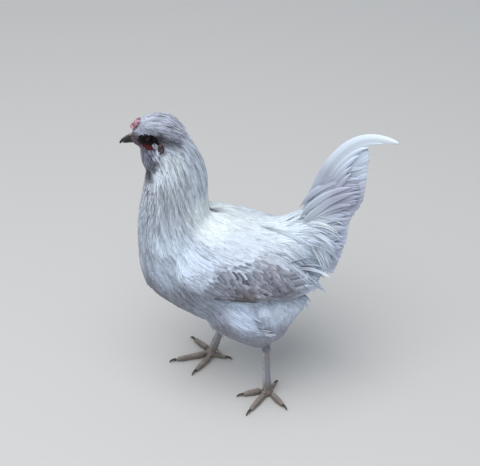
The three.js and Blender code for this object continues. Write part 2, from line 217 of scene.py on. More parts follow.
# %% [markdown]
# Blender's own noise is the same on every run, but a mesh needs random numbers too: a feather
# never lies quite as its neighbour does. Every use draws from a generator with a fixed seed.
# Where neighbours should be alike, a sum of waves that run in random directions gives a smooth
# number for any place.

# %% Repeatable chance


def chance(seed):
    return np.random.default_rng(seed)


def differing(dice, shape):
    """Random numbers about 0 on average and 1 in size, none past 2 either way."""
    return np.clip(dice.normal(0, 1, shape), -2, 2)


def ripple(points, wavelength, seed, waves=24):
    """A smooth random number for each point, about 0 on average and 1 in size."""
    dice = chance(seed)
    ways = unit(dice.normal(0, 1, (waves, 3))) * dice.uniform(0.7, 1.5, (waves, 1)) * 2 * np.pi / wavelength
    return np.cos(points @ ways.T + dice.uniform(0, 2 * np.pi, waves)).sum(axis=-1) / math.sqrt(waves / 2)


# %% [markdown]
# ## The form that the coat follows
#
# The head, neck, trunk, thighs and wings are separate solids in the CAD, with thin gaps.
# A living bird has one skin, so copies of the solids are swollen until they overlap, remeshed
# into one surface of small squares, and smoothed so that no seam shows.
# A boolean union would also join them, but it keeps the creases, and feathers would kink there.

# %% One smooth surface from many solids
FLESH = ["trunk", "neck", "head", "muffs", "thigh_left", "thigh_right", "wing_left", "wing_right"]


def swollen_copy(name, nodes, swell):
    """The solids' surfaces in one object, each grown outwards by the swell in millimetres."""
    bm = bmesh.new()
    for node in nodes:
        bm.from_mesh(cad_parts[node].data)
    bmesh.ops.remove_doubles(bm, verts=bm.verts, dist=1e-5)
    bmesh.ops.recalc_face_normals(bm, faces=bm.faces)
    bm.normal_update()
    for vert in bm.verts:
        vert.co += vert.normal * swell * MM
    mesh = bpy.data.meshes.new(name)
    bm.to_mesh(mesh)
    bm.free()
    return object_of(name, mesh)


def one_surface(name, nodes, swell, voxel, rounds):
    source = swollen_copy(name, nodes, swell)
    remesh = source.modifiers.new("join", "REMESH")
    remesh.mode = "VOXEL"
    remesh.voxel_size = voxel * MM
    smooth = source.modifiers.new("soften", "SMOOTH")
    smooth.factor = 0.5
    smooth.iterations = rounds
    mesh = baked(source, name)
    bpy.data.objects.remove(source)
    return mesh


class Form:
    """A surface that points can be laid on, with its smooth normals."""

    def __init__(self, mesh):
        mesh.calc_loop_triangles()
        self.points = to_plan(points_of(mesh))
        self.normals = threes(mesh.vertex_normals, "vector").astype(float)
        self.triangles = threes(mesh.loop_triangles, "vertices", np.int32)
        self.tree = BVHTree.FromPolygons(self.points.tolist(), self.triangles.tolist())

    def nearest(self, points):
        """The nearest place on the surface to each point, its normal and how far it is."""
        found = [self.tree.find_nearest(point) for point in np.asarray(points).tolist()]
        places = np.array([f[0] for f in found])
        faces = self.triangles[np.array([f[2] for f in found])]
        away = np.array([f[3] for f in found])
        return places, self.normal_at(places, faces), away

    def normal_at(self, places, faces):
        """Normals blended from a triangle's three corners by how near each one is."""
        gaps = np.linalg.norm(self.points[faces] - places[:, None], axis=2)
        weights = 1 / (gaps + 0.2)
        blended = np.sum(self.normals[faces] * weights[..., None], axis=1)
        return unit(blended)


body_mesh = one_surface("body_form", FLESH, swell=0.5, voxel=2.4, rounds=6)
body = Form(body_mesh)
wings = {
    side: Form(one_surface("wing_form", ["wing_" + side], swell=0.3, voxel=2.0, rounds=3)) for side in SIDES
}
print("form:", len(body.points), "points,", len(body.triangles), "triangles")

# %% [markdown]
# ## How the feathers lie
#
# A bird's coat changes smoothly from place to place: tiny round feathers on the crown, long
# pointed hackles down the neck, broad soft ones on the breast, loose fluff on the thighs.
# It could be combed by hand, but then each change means combing again. Here a table says what
# the feathers are like at some named places of the body, and any other place takes a blend of
# its neighbours, so that the coat has no borders.
# Each row holds the place (X, distance from the midline, Z), the lie (back, out, up), then
# length, half-width, how pointed the tip is, spacing, how loose it stands, and the row's reach.

# %% The plan of the plumage
PLUMAGE = {
    "coat_head": {
        "forehead": (-137, 5, 464, 0.75, 0.12, 0.65, 9, 1.2, 0.6, 1.5, 0.3, 7),
        "crown": (-113, 6, 476, 1, 0.08, 0.05, 22, 1.4, 0.8, 1.8, 0.5, 13),
        "brow": (-124, 19, 463, 1, 0.1, 0.05, 15, 1.3, 0.75, 1.6, 0.4, 8),
        "temple": (-98, 23, 456, 0.97, 0.1, -0.22, 18, 1.6, 0.75, 1.8, 0.5, 10),
        "crown_rear": (-80, 12, 456, 0.75, 0.05, -0.65, 24, 2.0, 0.85, 2.2, 0.6, 12),
        "ear": (-100, 25, 441, 0.85, 0.12, -0.5, 12, 1.4, 0.75, 1.7, 0.5, 7),
        "lores": (-141, 9, 440, 0.9, 0.1, -0.2, 4, 0.7, 0.6, 1.4, 0.3, 6),
    },
    "coat_beard": {
        "cheek": (-124, 23, 430, 0.45, 0.25, -0.8, 8, 1.0, 0.8, 1.4, 0.9, 7),
        "muff": (-117, 27, 418, 0.35, 0.25, -0.88, 11, 1.2, 0.85, 1.6, 1.3, 9),
        "beard": (-138, 9, 420, 0.05, 0.1, -1, 12, 1.2, 0.85, 1.6, 1.2, 10),
        "chin": (-142, 6, 432, 0.1, 0.1, -1, 7, 0.9, 0.8, 1.3, 0.6, 7),
        "throat": (-129, 9, 390, 0.2, 0.1, -1, 15, 1.6, 0.8, 2.0, 0.9, 9),
    },
    "coat_hackle": {
        "hackle_top": (-97, 28, 418, 0.25, 0.15, -0.95, 26, 1.9, 0.9, 2.2, 0.5, 10),
        "nape": (-68, 12, 436, 0.45, 0.08, -0.9, 34, 2.1, 0.9, 2.6, 0.5, 14),
        "neck_top": (-92, 28, 405, 0.3, 0.12, -0.95, 36, 2.1, 0.95, 2.5, 0.5, 12),
        "nape_middle": (-50, 14, 398, 0.22, 0.08, -0.97, 52, 2.4, 0.95, 3.0, 0.6, 22),
        "neck_side": (-88, 36, 380, 0.2, 0.12, -0.97, 50, 2.2, 0.95, 2.9, 0.6, 22),
        "neck_front": (-132, 12, 372, 0.0, 0.06, -1, 30, 2.5, 0.8, 3.0, 0.5, 20),
    },
    "coat_cape": {
        "neck_low_front": (-142, 16, 330, 0.02, 0.08, -1, 34, 3.0, 0.6, 3.6, 0.5, 22),
        "neck_low_side": (-90, 46, 335, 0.2, 0.2, -0.95, 62, 2.5, 0.95, 3.2, 0.7, 24),
        "nape_low": (-44, 18, 350, 0.3, 0.12, -0.95, 64, 2.6, 0.95, 3.4, 0.7, 22),
        "cape_side": (-85, 60, 296, 0.5, 0.2, -0.85, 66, 2.6, 1.0, 3.5, 0.9, 22),
        "cape_back": (-42, 30, 322, 0.75, 0.25, -0.5, 64, 2.7, 1.0, 3.4, 0.8, 18),
    },
    "coat_breast": {
        "breast_top": (-147, 16, 285, 0.03, 0.06, -1, 28, 4.2, 0.45, 4.3, 0.5, 24),
        "breast": (-143, 20, 240, 0.12, 0.12, -1, 28, 4.2, 0.45, 4.3, 0.5, 24),
        "breast_side": (-108, 56, 240, 0.45, 0.12, -0.88, 32, 4.2, 0.5, 4.4, 0.6, 24),
        "breast_low": (-128, 20, 190, 0.5, 0.1, -0.85, 32, 4.0, 0.5, 4.3, 0.6, 24),
        "breast_low_side": (-95, 50, 180, 0.7, 0.1, -0.7, 38, 4.0, 0.6, 4.3, 0.6, 24),
    },
    "coat_belly": {
        "keel": (-70, 18, 140, 0.95, 0.05, -0.3, 34, 4.4, 0.4, 4.8, 0.6, 26),
        "belly": (0, 18, 116, 1, 0, 0.0, 28, 4.6, 0.3, 5.4, 0.8, 34),
        "flank": (-40, 66, 172, 0.82, 0.05, -0.57, 50, 3.8, 0.7, 4.3, 0.7, 26),
        "vent": (70, 18, 142, 0.9, 0, -0.3, 22, 4.2, 0.3, 4.8, 0.8, 24),
        "vent_rear": (112, 14, 190, 0.12, 0, -1, 18, 4.0, 0.4, 4.4, 0.6, 20),
    },
    "coat_back": {
        "shoulder": (-50, 50, 306, 0.9, 0.12, -0.35, 40, 4.2, 0.6, 4.6, 0.4, 20),
        "back_front": (-20, 22, 318, 1, 0.06, -0.1, 38, 4.4, 0.6, 4.8, 0.3, 22),
        "back": (20, 22, 300, 1, 0.08, -0.12, 40, 4.0, 0.7, 4.5, 0.3, 22),
        "back_side": (10, 50, 285, 0.9, 0.1, -0.45, 44, 3.8, 0.8, 4.4, 0.4, 20),
    },
    "coat_saddle": {
        "saddle": (55, 20, 296, 1, 0.1, 0.05, 50, 2.8, 0.9, 3.6, 0.4, 17),
        "saddle_side": (52, 46, 276, 0.84, 0.12, -0.53, 88, 2.2, 1.0, 3.1, 0.6, 17),
        "saddle_low": (80, 48, 256, 0.66, 0.1, -0.74, 68, 2.2, 1.0, 3.1, 0.8, 16),
        "tail_front": (84, 14, 312, 0.72, 0.1, 0.6, 40, 3.2, 0.85, 3.7, 0.6, 14),
        "tail_side": (86, 34, 294, 0.97, 0.1, -0.1, 66, 2.5, 0.95, 3.3, 0.8, 14),
        "rump_side": (105, 30, 280, 0.8, 0.12, -0.55, 66, 2.4, 1.0, 3.2, 0.9, 15),
        "rump_rear": (124, 12, 245, 0.4, 0.05, -0.9, 36, 2.8, 0.9, 3.8, 1.0, 15),
    },
    "coat_thighs": {
        "thigh_front": (-45, 62, 150, 0.78, 0.0, -0.62, 40, 3.4, 0.6, 3.8, 0.6, 18),
        "thigh_front_low": (-14, 60, 128, 0.8, 0.0, -0.55, 32, 3.0, 0.7, 3.6, 0.6, 16),
        "thigh": (24, 74, 178, 0.35, 0.05, -0.92, 24, 2.7, 0.6, 3.2, 0.7, 20),
        "drumstick": (40, 68, 142, 0.25, -0.05, -0.97, 18, 2.4, 0.7, 3.0, 0.8, 16),
        "thigh_rear": (82, 58, 180, 0.2, 0, -1, 22, 2.6, 0.7, 3.2, 1.2, 20),
        "hock": (34, 54, 112, 0.12, -0.02, -1, 14, 1.6, 0.8, 2.2, 0.4, 11),
        "thigh_inner": (30, 34, 150, 0.5, 0, -0.85, 20, 3.4, 0.4, 4.6, 0.8, 18),
    },
    "coat_wings": {
        "wrist": (-86, 68, 262, 0.8, 0.1, -0.6, 18, 3.8, 0.2, 4.0, 0.3, 12),
        "wing_bow": (-55, 76, 270, 0.93, 0.05, -0.36, 20, 4.2, 0.15, 4.5, 0.4, 22),
        "wing_top": (10, 66, 275, 0.95, 0.05, -0.3, 24, 4.4, 0.3, 5.0, 0.4, 24),
        "wing_middle": (0, 84, 245, 0.97, 0.0, -0.22, 19, 4.3, 0.1, 4.6, 0.5, 22),
        "wing_rear": (70, 66, 240, 1, -0.05, -0.2, 26, 4.6, 0.2, 5.0, 0.4, 20),
        "wing_low": (-10, 82, 218, 1, 0, -0.12, 24, 4.6, 0.1, 5.0, 0.3, 18),
    },
}
PIECES = list(PLUMAGE)
ROWS = np.array([row for part in PLUMAGE.values() for row in part.values()], float)
ROW_PIECE = np.array([PIECES.index(part) for part in PIECES for _ in PLUMAGE[part]])


def folded(points):
    """Both sides of the bird as one, by the distance from the midline."""
    points = np.array(points, float)
    points[..., 1] = np.abs(points[..., 1])
    return points


def nearness(points, places, reaches):
    """How much each named place counts at each point; the shares of a point add up to 1."""
    gaps = folded(points)[:, None] - places[None]
    squares = np.sum(gaps * gaps, axis=2)
    weights = np.exp(-squares / (2 * reaches**2)) / reaches**2 + 1e-12 / (1 + squares)
    return weights / weights.sum(axis=1, keepdims=True)


def plumage_at(points):
    """What the feathers are like at each point, and which piece of the coat they belong to."""
    shares = nearness(points, ROWS[:, :3], ROWS[:, 11])
    lie, form = shares @ ROWS[:, 3:6], shares @ ROWS[:, 6:11]
    lie[:, 1] *= np.sign(points[:, 1])
    return unit(lie), form, ROW_PIECE[np.argmax(shares, axis=1)]


print("named places:", len(ROWS))

# %% [markdown]
# ## The colours of the coat
#
# Self-blue plumage is one pale blue-grey that darkens to mauve-grey in places, so the back is almost
# white and the lower wing is dusky. The face is darkest. Some marks paint shade: the band under the
# brow, the line along the edge of the beard, the feathers round the earlobe, the crease under the fold
# of the flank, and part of the darkness low on the breast, belly and thighs.
# The same kind of table holds the colours: a place, a reach, and a colour as seen on a screen.
# The last number is how much neighbouring feathers differ from each other.

# %% The markings
MARKINGS = {
    "forehead": (-138, 5, 465, 7, 176, 182, 198, 0.12),
    "crown": (-115, 8, 476, 13, 176, 182, 198, 0.14),
    "crown_rear": (-82, 12, 458, 13, 170, 175, 190, 0.16),
    "brow": (-122, 18, 463, 6, 166, 172, 188, 0.16),
    "temple": (-97, 23, 457, 7, 140, 143, 158, 0.18),
    # Painted shadow under the overhanging brow, darkest next to the eye and fading towards the nape.
    "brow_shadow_front": (-110, 22, 450.5, 4, 20, 19, 25, 0.15),
    "brow_shadow": (-101, 25, 448.5, 3.5, 36, 36, 45, 0.15),
    "brow_shadow_rear": (-93, 26, 446.5, 3.5, 58, 60, 72, 0.18),
    "brow_shadow_end": (-84, 26, 444.5, 4, 92, 96, 110, 0.18),
    "lores": (-141, 9, 440, 6, 84, 74, 82, 0.15),
    "ear": (-96, 26, 438, 6, 168, 176, 192, 0.18),
    "cheek": (-125, 22, 430, 6, 92, 92, 108, 0.45),
    "muff": (-118, 26, 418, 9, 124, 126, 144, 0.5),
    "beard": (-139, 9, 416, 10, 122, 124, 144, 0.45),
    "chin": (-143, 6, 432, 5, 100, 76, 84, 0.20),
    "throat": (-130, 10, 391, 6, 96, 100, 112, 0.22),
    # Painted shadow in the line between the beard and the hackle.
    "beard_shadow": (-117, 27, 415, 2.2, 80, 80, 92, 0.4),
    "beard_shadow_low": (-121, 24, 405, 2.6, 82, 83, 95, 0.4),
    "beard_shadow_tip": (-129, 14, 391, 4, 60, 60, 70, 0.3),
    "hackle_edge": (-106, 27, 425, 4.5, 212, 220, 232, 0.15),
    # Painted shade on the feathers round the earlobe.
    "lobe_shade": (-107.5, 25, 434, 4, 40, 33, 40, 0.2),
    "hackle_top": (-96, 29, 422, 10, 226, 236, 246, 0.16),
    "hackle_front": (-108, 29, 400, 9, 222, 232, 244, 0.18),
    "nape": (-64, 14, 432, 15, 192, 202, 218, 0.16),
    "neck_side": (-84, 38, 378, 16, 176, 183, 194, 0.22),
    "neck_back": (-48, 16, 385, 18, 194, 206, 220, 0.18),
    "neck_front": (-138, 14, 365, 20, 174, 180, 192, 0.20),
    "neck_low": (-95, 48, 335, 18, 172, 180, 192, 0.20),
    "cape_side": (-88, 62, 286, 18, 208, 222, 238, 0.14),
    "cape_back": (-40, 30, 322, 18, 243, 251, 255, 0.09),
    "breast_top": (-148, 16, 290, 22, 168, 178, 193, 0.16),
    "breast": (-145, 20, 245, 20, 162, 172, 188, 0.16),
    "breast_side": (-108, 58, 230, 22, 180, 192, 211, 0.12),
    # Low on the breast, under it and along the keel and belly, the marks are darker partly as the plumage is
    # and partly as painted shade under the body.
    "breast_low": (-132, 22, 198, 17, 98, 100, 110, 0.2),
    "breast_low_side": (-88, 60, 202, 15, 124, 126, 138, 0.14),
    "breast_under": (-108, 30, 158, 16, 112, 110, 120, 0.18),
    "keel": (-70, 24, 138, 22, 122, 126, 140, 0.16),
    "belly": (0, 20, 116, 34, 132, 138, 154, 0.12),
    "flank": (-50, 66, 176, 18, 152, 159, 175, 0.14),
    "fold": (4, 76, 184, 14, 214, 229, 250, 0.1),
    # Darker partly as the plumage is and partly as painted shade low on the belly.
    "belly_band": (8, 66, 132, 13, 138, 140, 155, 0.14),
    "thigh_front": (-26, 70, 150, 10, 132, 132, 144, 0.14),
    "back": (0, 20, 312, 30, 224, 232, 238, 0.07),
    "back_side": (10, 52, 285, 22, 214, 225, 238, 0.09),
    "saddle": (60, 20, 298, 20, 216, 227, 238, 0.07),
    "saddle_side": (70, 48, 265, 18, 212, 223, 237, 0.13),
    "rump": (110, 30, 270, 20, 206, 218, 234, 0.13),
    "vent": (100, 16, 180, 26, 186, 197, 215, 0.10),
    "thigh": (24, 74, 165, 24, 194, 206, 226, 0.08),
    "thigh_rear": (80, 60, 180, 22, 198, 210, 228, 0.08),
    # A thin line of painted shade in the crease under the fold of the flank.
    "fold_shade_top": (20, 78, 192, 3, 172, 182, 202, 0.08),
    "fold_shade": (29, 76, 174, 3, 156, 164, 182, 0.08),
    "fold_shade_low": (38, 72, 158, 4, 150, 157, 174, 0.08),
    # The thigh darkens downwards, partly as the plumage does and partly as painted shade.
    "thigh_low": (44, 70, 144, 10, 158, 163, 180, 0.1),
    "thigh_lobe": (66, 60, 136, 12, 148, 148, 164, 0.1),
    "hock": (36, 56, 110, 9, 136, 139, 150, 0.10),
    "wing_bow": (-60, 74, 275, 18, 200, 211, 229, 0.13),
    "wing_top": (-8, 62, 282, 14, 204, 215, 232, 0.13),
    "wing_middle": (-15, 84, 254, 15, 136, 141, 156, 0.3),
    "wing_mottle": (14, 80, 264, 9, 150, 156, 172, 0.4),
    "wing_mauve": (50, 68, 277, 13, 136, 136, 150, 0.3),
    "wing_mauve_low": (38, 80, 254, 13, 140, 140, 154, 0.3),
    "wing_low": (-5, 84, 226, 12, 117, 116, 126, 0.32),
    "wing_low_rear": (60, 80, 234, 13, 116, 117, 129, 0.34),
    "wing_stain": (50, 80, 268, 6, 116, 104, 102, 0.2),
    "wing_stain_low": (8, 84, 220, 6, 106, 98, 100, 0.2),
    "wing_rear": (88, 68, 256, 12, 122, 125, 139, 0.26),
}
MARKS = np.array(list(MARKINGS.values()), float)
MARKS[:, 4:7] = [paint(*row) for row in MARKS[:, 4:7]]


def colour_at(points):
    """The coat's colour at each point, and how much one feather differs from the next."""
    shares = nearness(points, MARKS[:, :3], MARKS[:, 3])
    return shares @ MARKS[:, 4:7], (shares @ MARKS[:, 7:8])[:, 0]


def within_range(colours):
    """Colours no brighter than plumage can be, dimmed as a whole so that they keep their hue."""
    return np.clip(colours * (0.93 / np.maximum(colours.max(axis=-1, keepdims=True), 0.93)), 0.008, 1)


print("markings:", len(MARKS))

# %% [markdown]
# ## One feather
#
# A feather is a stiff shaft with a flat vane on each side. Modelled in full it has thousands
# of barbs; here it is a thin closed sliver, arched across, with a ridge along the shaft, and the
# shader draws the barbs. A few dozen faces are enough, since there are thousands of feathers.
# The faces of one feather are worked out once, and the same pattern is repeated for all.

# %% The pattern of faces of a feather


def feather_faces(rows, columns):
    """Faces of a sliver: a grid on top, a strip below, and a point at each end."""
    grid = 1 + np.arange(rows * columns).reshape(rows, columns)
    tip = 1 + rows * columns
    strip = tip + 2 + np.arange(rows * 2).reshape(rows, 2)
    low_root, low_tip = tip + 1, tip + 2 + rows * 2
    quads = [
        np.stack([g[:-1, :-1], g[:-1, 1:], g[1:, 1:], g[1:, :-1]], axis=-1).reshape(-1, 4)
        for g in (grid, strip[:, ::-1])
    ]
    ends = []
    for start, g, end in ((0, grid, tip), (low_root, strip[:, ::-1], low_tip)):
        for i in range(g.shape[1] - 1):
            ends.append((start, g[0, i + 1], g[0, i]))
            ends.append((g[-1, i], g[-1, i + 1], end))
    return np.concatenate(quads), np.array(ends), low_tip + 1


def vane_width(share, point):
    """The width along a feather, root to tip, as a share of its widest: round or pointed."""
    base = 0.35 + 0.65 * ease(share, 0, 0.4)
    power = 5 - 3.2 * point
    return base * np.maximum(1 - share**power, 0) ** (0.55 + 0.4 * point)


quads, ends, count = feather_faces(5, 3)
print("a body feather has", 2 * len(quads) + len(ends), "triangles and", count, "points")

# %% [markdown]
# ## A coat of feathers from arrays
#
# Each feather has a path, the normals along it, a half-width and a tip. All feathers of a piece
# are made at once. Three things are kept for the shader: the feather's colour, its place on the
# vane (across, along, length), and a small patch of the map that the colours are baked to.
# That patch lies where the root is on the skin, unrolled round the line through the body.
# The line runs from the bill through head, neck and trunk to the tip of the tail.

# %% Unrolling the skin
SPINE = np.array([
    (-165, 0, 438), (-140, 0, 447), (-112, 0, 450), (-98, 0, 425), (-95, 0, 380), (-95, 0, 330),
    (-88, 0, 270), (-40, 0, 225), (30, 0, 215), (85, 0, 250), (120, 0, 310), (165, 0, 410), (215, 0, 440),
], float)
SPINE_SHARE = np.array([0.0, 0.08, 0.16, 0.24, 0.33, 0.42, 0.52, 0.62, 0.74, 0.84, 0.9, 0.96, 1.0])
PATCH = 0.003


def unrolled(points):
    """A place on the skin as two numbers: round the body, and along it from beak to tail."""
    best = np.full(len(points), np.inf)
    along = np.zeros(len(points))
    turn = np.zeros(len(points))
    for i in range(len(SPINE) - 1):
        start, step = SPINE[i], SPINE[i + 1] - SPINE[i]
        share = np.clip((points - start) @ step / (step @ step), 0, 1)
        off = points - (start + share[:, None] * step)
        away = np.linalg.norm(off, axis=1)
        up = unit(np.array([-step[2], 0.0, step[0]]))
        nearer = away < best
        best[nearer] = away[nearer]
        along[nearer] = (SPINE_SHARE[i] + share * (SPINE_SHARE[i + 1] - SPINE_SHARE[i]))[nearer]
        turn[nearer] = np.arctan2(off[:, 1], off @ up)[nearer]
    return np.stack([0.01 + 0.98 * (turn / (2 * np.pi) + 0.5), 0.01 + 0.98 * along], axis=1)


print("the eyes unroll to height", unrolled(EYE_PLAN[None])[0, 1].round(3))

# %% [markdown]
# One feather could be drawn once and set in thousands of places, but each bends its own way
# over the body. So the points are worked out anew, for all feathers of a piece together: rows
# across the vane, arched above the path, and a narrow strip below that closes the sliver.

# %% Growing feathers
ARCH = 0.35


def bunched(values, share):
    """Values given at even places along each feather, read off at other places."""
    at = share * (values.shape[1] - 1)
    before = np.minimum(at.astype(int), values.shape[1] - 2)
    part = (at - before)[None, :, None]
    return values[:, before] * (1 - part) + values[:, before + 1] * part


def grow(name, material, paths, ups, halves, points, tints, arch=ARCH, columns=3, bunch=1.0):
    """One mesh object of many feathers. paths and ups are (feathers, places, 3).

    arch is the height of the vane's middle as a share of its half-width. A bunch above 1 moves
    the places towards the tip, which makes a broad tip round.
    """
    feathers, places = paths.shape[:2]
    rows = places - 2
    share = 1 - (1 - np.linspace(0, 1, places)) ** bunch
    if tints.ndim == 2:
        tints = np.repeat(tints[:, None], places, axis=1)
    paths, ups, tints = bunched(paths, share), unit(bunched(ups, share)), bunched(tints, share)
    share = share[None]
    halves, points = np.reshape(halves, (-1, 1)), np.reshape(points, (-1, 1))
    ahead = unit(np.gradient(paths, axis=1))
    side = unit(np.cross(ahead, ups))
    up = np.cross(side, ahead)
    width = halves * vane_width(share, points)
    across = np.linspace(-1, 1, columns)
    lengths = np.sum(np.linalg.norm(np.diff(paths, axis=1), axis=2), axis=1)

    def row_points(at):
        """Points across every feather, at the given places across from -1 to 1."""
        out = side[:, 1:-1, None] * (width[:, 1:-1, None] * at)[..., None]
        rise = up[:, 1:-1, None] * (arch * halves[:, :, None] * (1 - at**2))[..., None]
        return (paths[:, 1:-1, None] + out + rise).reshape(feathers, -1, 3)

    def quill(at, where):
        """The marks of those points: how far across, how far along, and 1 on the underside."""
        grid = np.broadcast_to(at, (feathers, rows, len(at))).reshape(feathers, -1)
        along = np.repeat(np.broadcast_to(share[:, 1:-1], (feathers, rows)), len(at), axis=1)
        return np.stack([grid, along, np.full(grid.shape, where)], axis=-1)

    edge = np.array([-1.0, 1.0])
    end = np.zeros((feathers, 1, 3))
    tip = end + (0, 1, 0)
    verts = np.concatenate(
        [paths[:, :1], row_points(across), paths[:, -1:], paths[:, :1], row_points(edge), paths[:, -1:]], 1
    )
    low, low_tip = end + (0, 0, 1), tip + (0, 0, 1)
    marks = np.concatenate([end, quill(across, 0), tip, low, quill(edge, 1), low_tip], axis=1)

    quads, ends, count = feather_faces(rows, columns)
    shift = (np.arange(feathers) * count)[:, None, None]
    mesh, corners = mesh_from(
        name,
        verts.reshape(-1, 3),
        (quads[None] + shift).reshape(-1, 4),
        (ends[None] + shift).reshape(-1, 3),
    )

    place = np.abs(marks[..., 1, None] - share[0]).argmin(axis=-1)
    keep_colour(mesh, "tint", np.take_along_axis(tints, place[..., None], axis=1).reshape(-1, 3))
    on_vane = marks.copy()
    on_vane[..., 2] = lengths[:, None]
    keep_vector(mesh, "vane", on_vane.reshape(-1, 3))

    home = unrolled(paths[:, 0])[:, None]
    x = np.where(marks[..., 2] > 0, 0.78 + 0.1 * marks[..., 0], 0.35 + 0.33 * marks[..., 0])
    patch = home + PATCH * (np.stack([x, marks[..., 1]], axis=-1) - 0.5)
    layer = mesh.uv_layers.new(name="OFBake")
    layer.uv.foreach_set("vector", patch.reshape(-1, 2)[corners].astype(np.float32).ravel())
    print(feathers, "feathers:", end=" ")
    return dressed(object_of(name, mesh), material)


# %% [markdown]
# ## Laying feathers on the body
#
# Roots are scattered so that none is too near another: many places are tried in a random order,
# and each one taken clears its neighbourhood. An even grid would be quicker, but the eye finds
# rows in it at once, and a grid can't follow the changing spacing.

# %% Scattering roots


def scatter(form, spacing_of, keep, seed):
    """Places on the form, about as far apart as spacing_of says, where keep allows them."""
    dice = chance(seed)
    corners = form.points[form.triangles]
    sides = corners[:, 1:] - corners[:, :1]
    areas = np.linalg.norm(np.cross(sides[:, 0], sides[:, 1]), axis=1) / 2
    centres = corners.mean(axis=1)
    spacing = spacing_of(centres)
    wanted = areas / (0.35 * spacing) ** 2 * keep(centres)
    picks = dice.choice(len(areas), size=int(wanted.sum()), p=wanted / wanted.sum())
    a, b = dice.random((2, len(picks), 1))
    folded_over = a + b > 1
    a, b = np.where(folded_over, 1 - a, a), np.where(folded_over, 1 - b, b)
    found = corners[picks, 0] * (1 - a - b) + corners[picks, 1] * a + corners[picks, 2] * b
    clear = spacing[picks] * 0.78
    tree = KDTree(len(found))
    for i, place in enumerate(found):
        tree.insert(place, i)
    tree.balance()
    free = np.ones(len(found), bool)
    taken = []
    for i in range(len(found)):
        if free[i]:
            taken.append(i)
            for _, j, _ in tree.find_range(found[i], clear[i]):
                free[j] = False
    return found[taken]


# %% [markdown]
# Then every feather is combed over the form in short steps: a step ahead along the lie, back
# down to the surface, and on. Its root is sunk to the skin later and its tip comes up to the
# outline, so each row covers the roots of the next. Where the body ends sharply, a feather
# can't follow: it comes loose there and goes on alone, drooping a little.

# %% Combing feathers over the form
DROOP = np.array([0.0, 0.0, -0.16])


def combed(form, roots, lie_of, lengths, steps, stray, seed, give=0.42):
    """Paths over the form from the roots, along the lie, and the normals beside them.

    A feather leaves the surface where that falls away faster than it can bend, which is by
    the share give of a step.
    """
    dice = chance(seed)
    place, normal, _ = form.nearest(roots)
    way = flatten_to(normal, lie_of(place) + dice.normal(0, 1, place.shape) * stray[:, None])
    step = (lengths / steps)[:, None]
    loose = np.zeros(len(roots), bool)
    path, ups = [place], [normal]
    for _ in range(steps):
        ahead = place + way * step
        near, new_normal, away = form.nearest(ahead)
        loose |= away > give * step[:, 0]
        place = np.where(loose[:, None], ahead, near)
        normal = np.where(loose[:, None], normal, new_normal)
        lie = flatten_to(normal, lie_of(place))
        droop = unit(way + DROOP)
        way = np.where(loose[:, None], droop, flatten_to(normal, way * 0.75 + lie * 0.25))
        path.append(place)
        ups.append(normal)
    return np.stack(path, axis=1), np.stack(ups, axis=1)


# %% [markdown]
# ## Shader maths as plain Python
#
# A procedural material is a sum written with nodes. The small class below wraps a socket, so
# that an expression such as 1 - mask * 0.5 adds its Math nodes by itself.

# %% A socket that can be added and multiplied


class Socket:
    def __init__(self, tree, socket):
        self.tree, self.socket = tree, socket

    def maths(self, operation, *values):
        return self.tree.node("ShaderNodeMath", {"operation": operation}, dict(enumerate(values)))

    def __add__(self, other):
        return self.maths("ADD", self, other)

    def __sub__(self, other):
        return self.maths("SUBTRACT", self, other)

    def __rsub__(self, other):
        return self.maths("SUBTRACT", other, self)

    def __mul__(self, other):
        return self.maths("MULTIPLY", self, other)

    def __truediv__(self, other):
        return self.maths("DIVIDE", self, other)

    def __pow__(self, other):
        return self.maths("POWER", self, other)

    __radd__, __rmul__ = __add__, __mul__

    def size(self):
        return self.maths("ABSOLUTE", self)

    def wave(self):
        return self.maths("SINE", self)

    def between(self, start, end):
        """0 below start, 1 above end, and smooth between."""
        settings = {"interpolation_type": "SMOOTHSTEP"}
        return self.tree.node("ShaderNodeMapRange", settings, {0: self, 1: start, 2: end})


# %% [markdown]
# A material is a set of nodes round one shader. Graph adds any kind of node, to a material or
# to any other tree, and Finish has short methods for the few kinds that the finishes use. What
# is the same all over a surface is given when its finish is started; what changes is set after.

# %% A material under construction


def pigment(red, green, blue):
    """A colour as shown on a screen, for a socket of a shader."""
    return (*paint(red, green, blue), 1)


class Graph:
    """Nodes under construction: node() adds any node and returns one of its outputs."""

    def __init__(self, tree):
        self.nodes, self.links = tree.nodes, tree.links

    def node(self, kind, settings=None, inputs=None, output=0):
        made = self.nodes.new(kind)
        for setting, value in (settings or {}).items():
            setattr(made, setting, value)
        for socket, value in (inputs or {}).items():
            self.put(made.inputs[socket], value)
        return Socket(self, made.outputs[output])

    def put(self, socket, value):
        if isinstance(value, Socket):
            self.links.new(value.socket, socket)
        else:
            socket.default_value = value


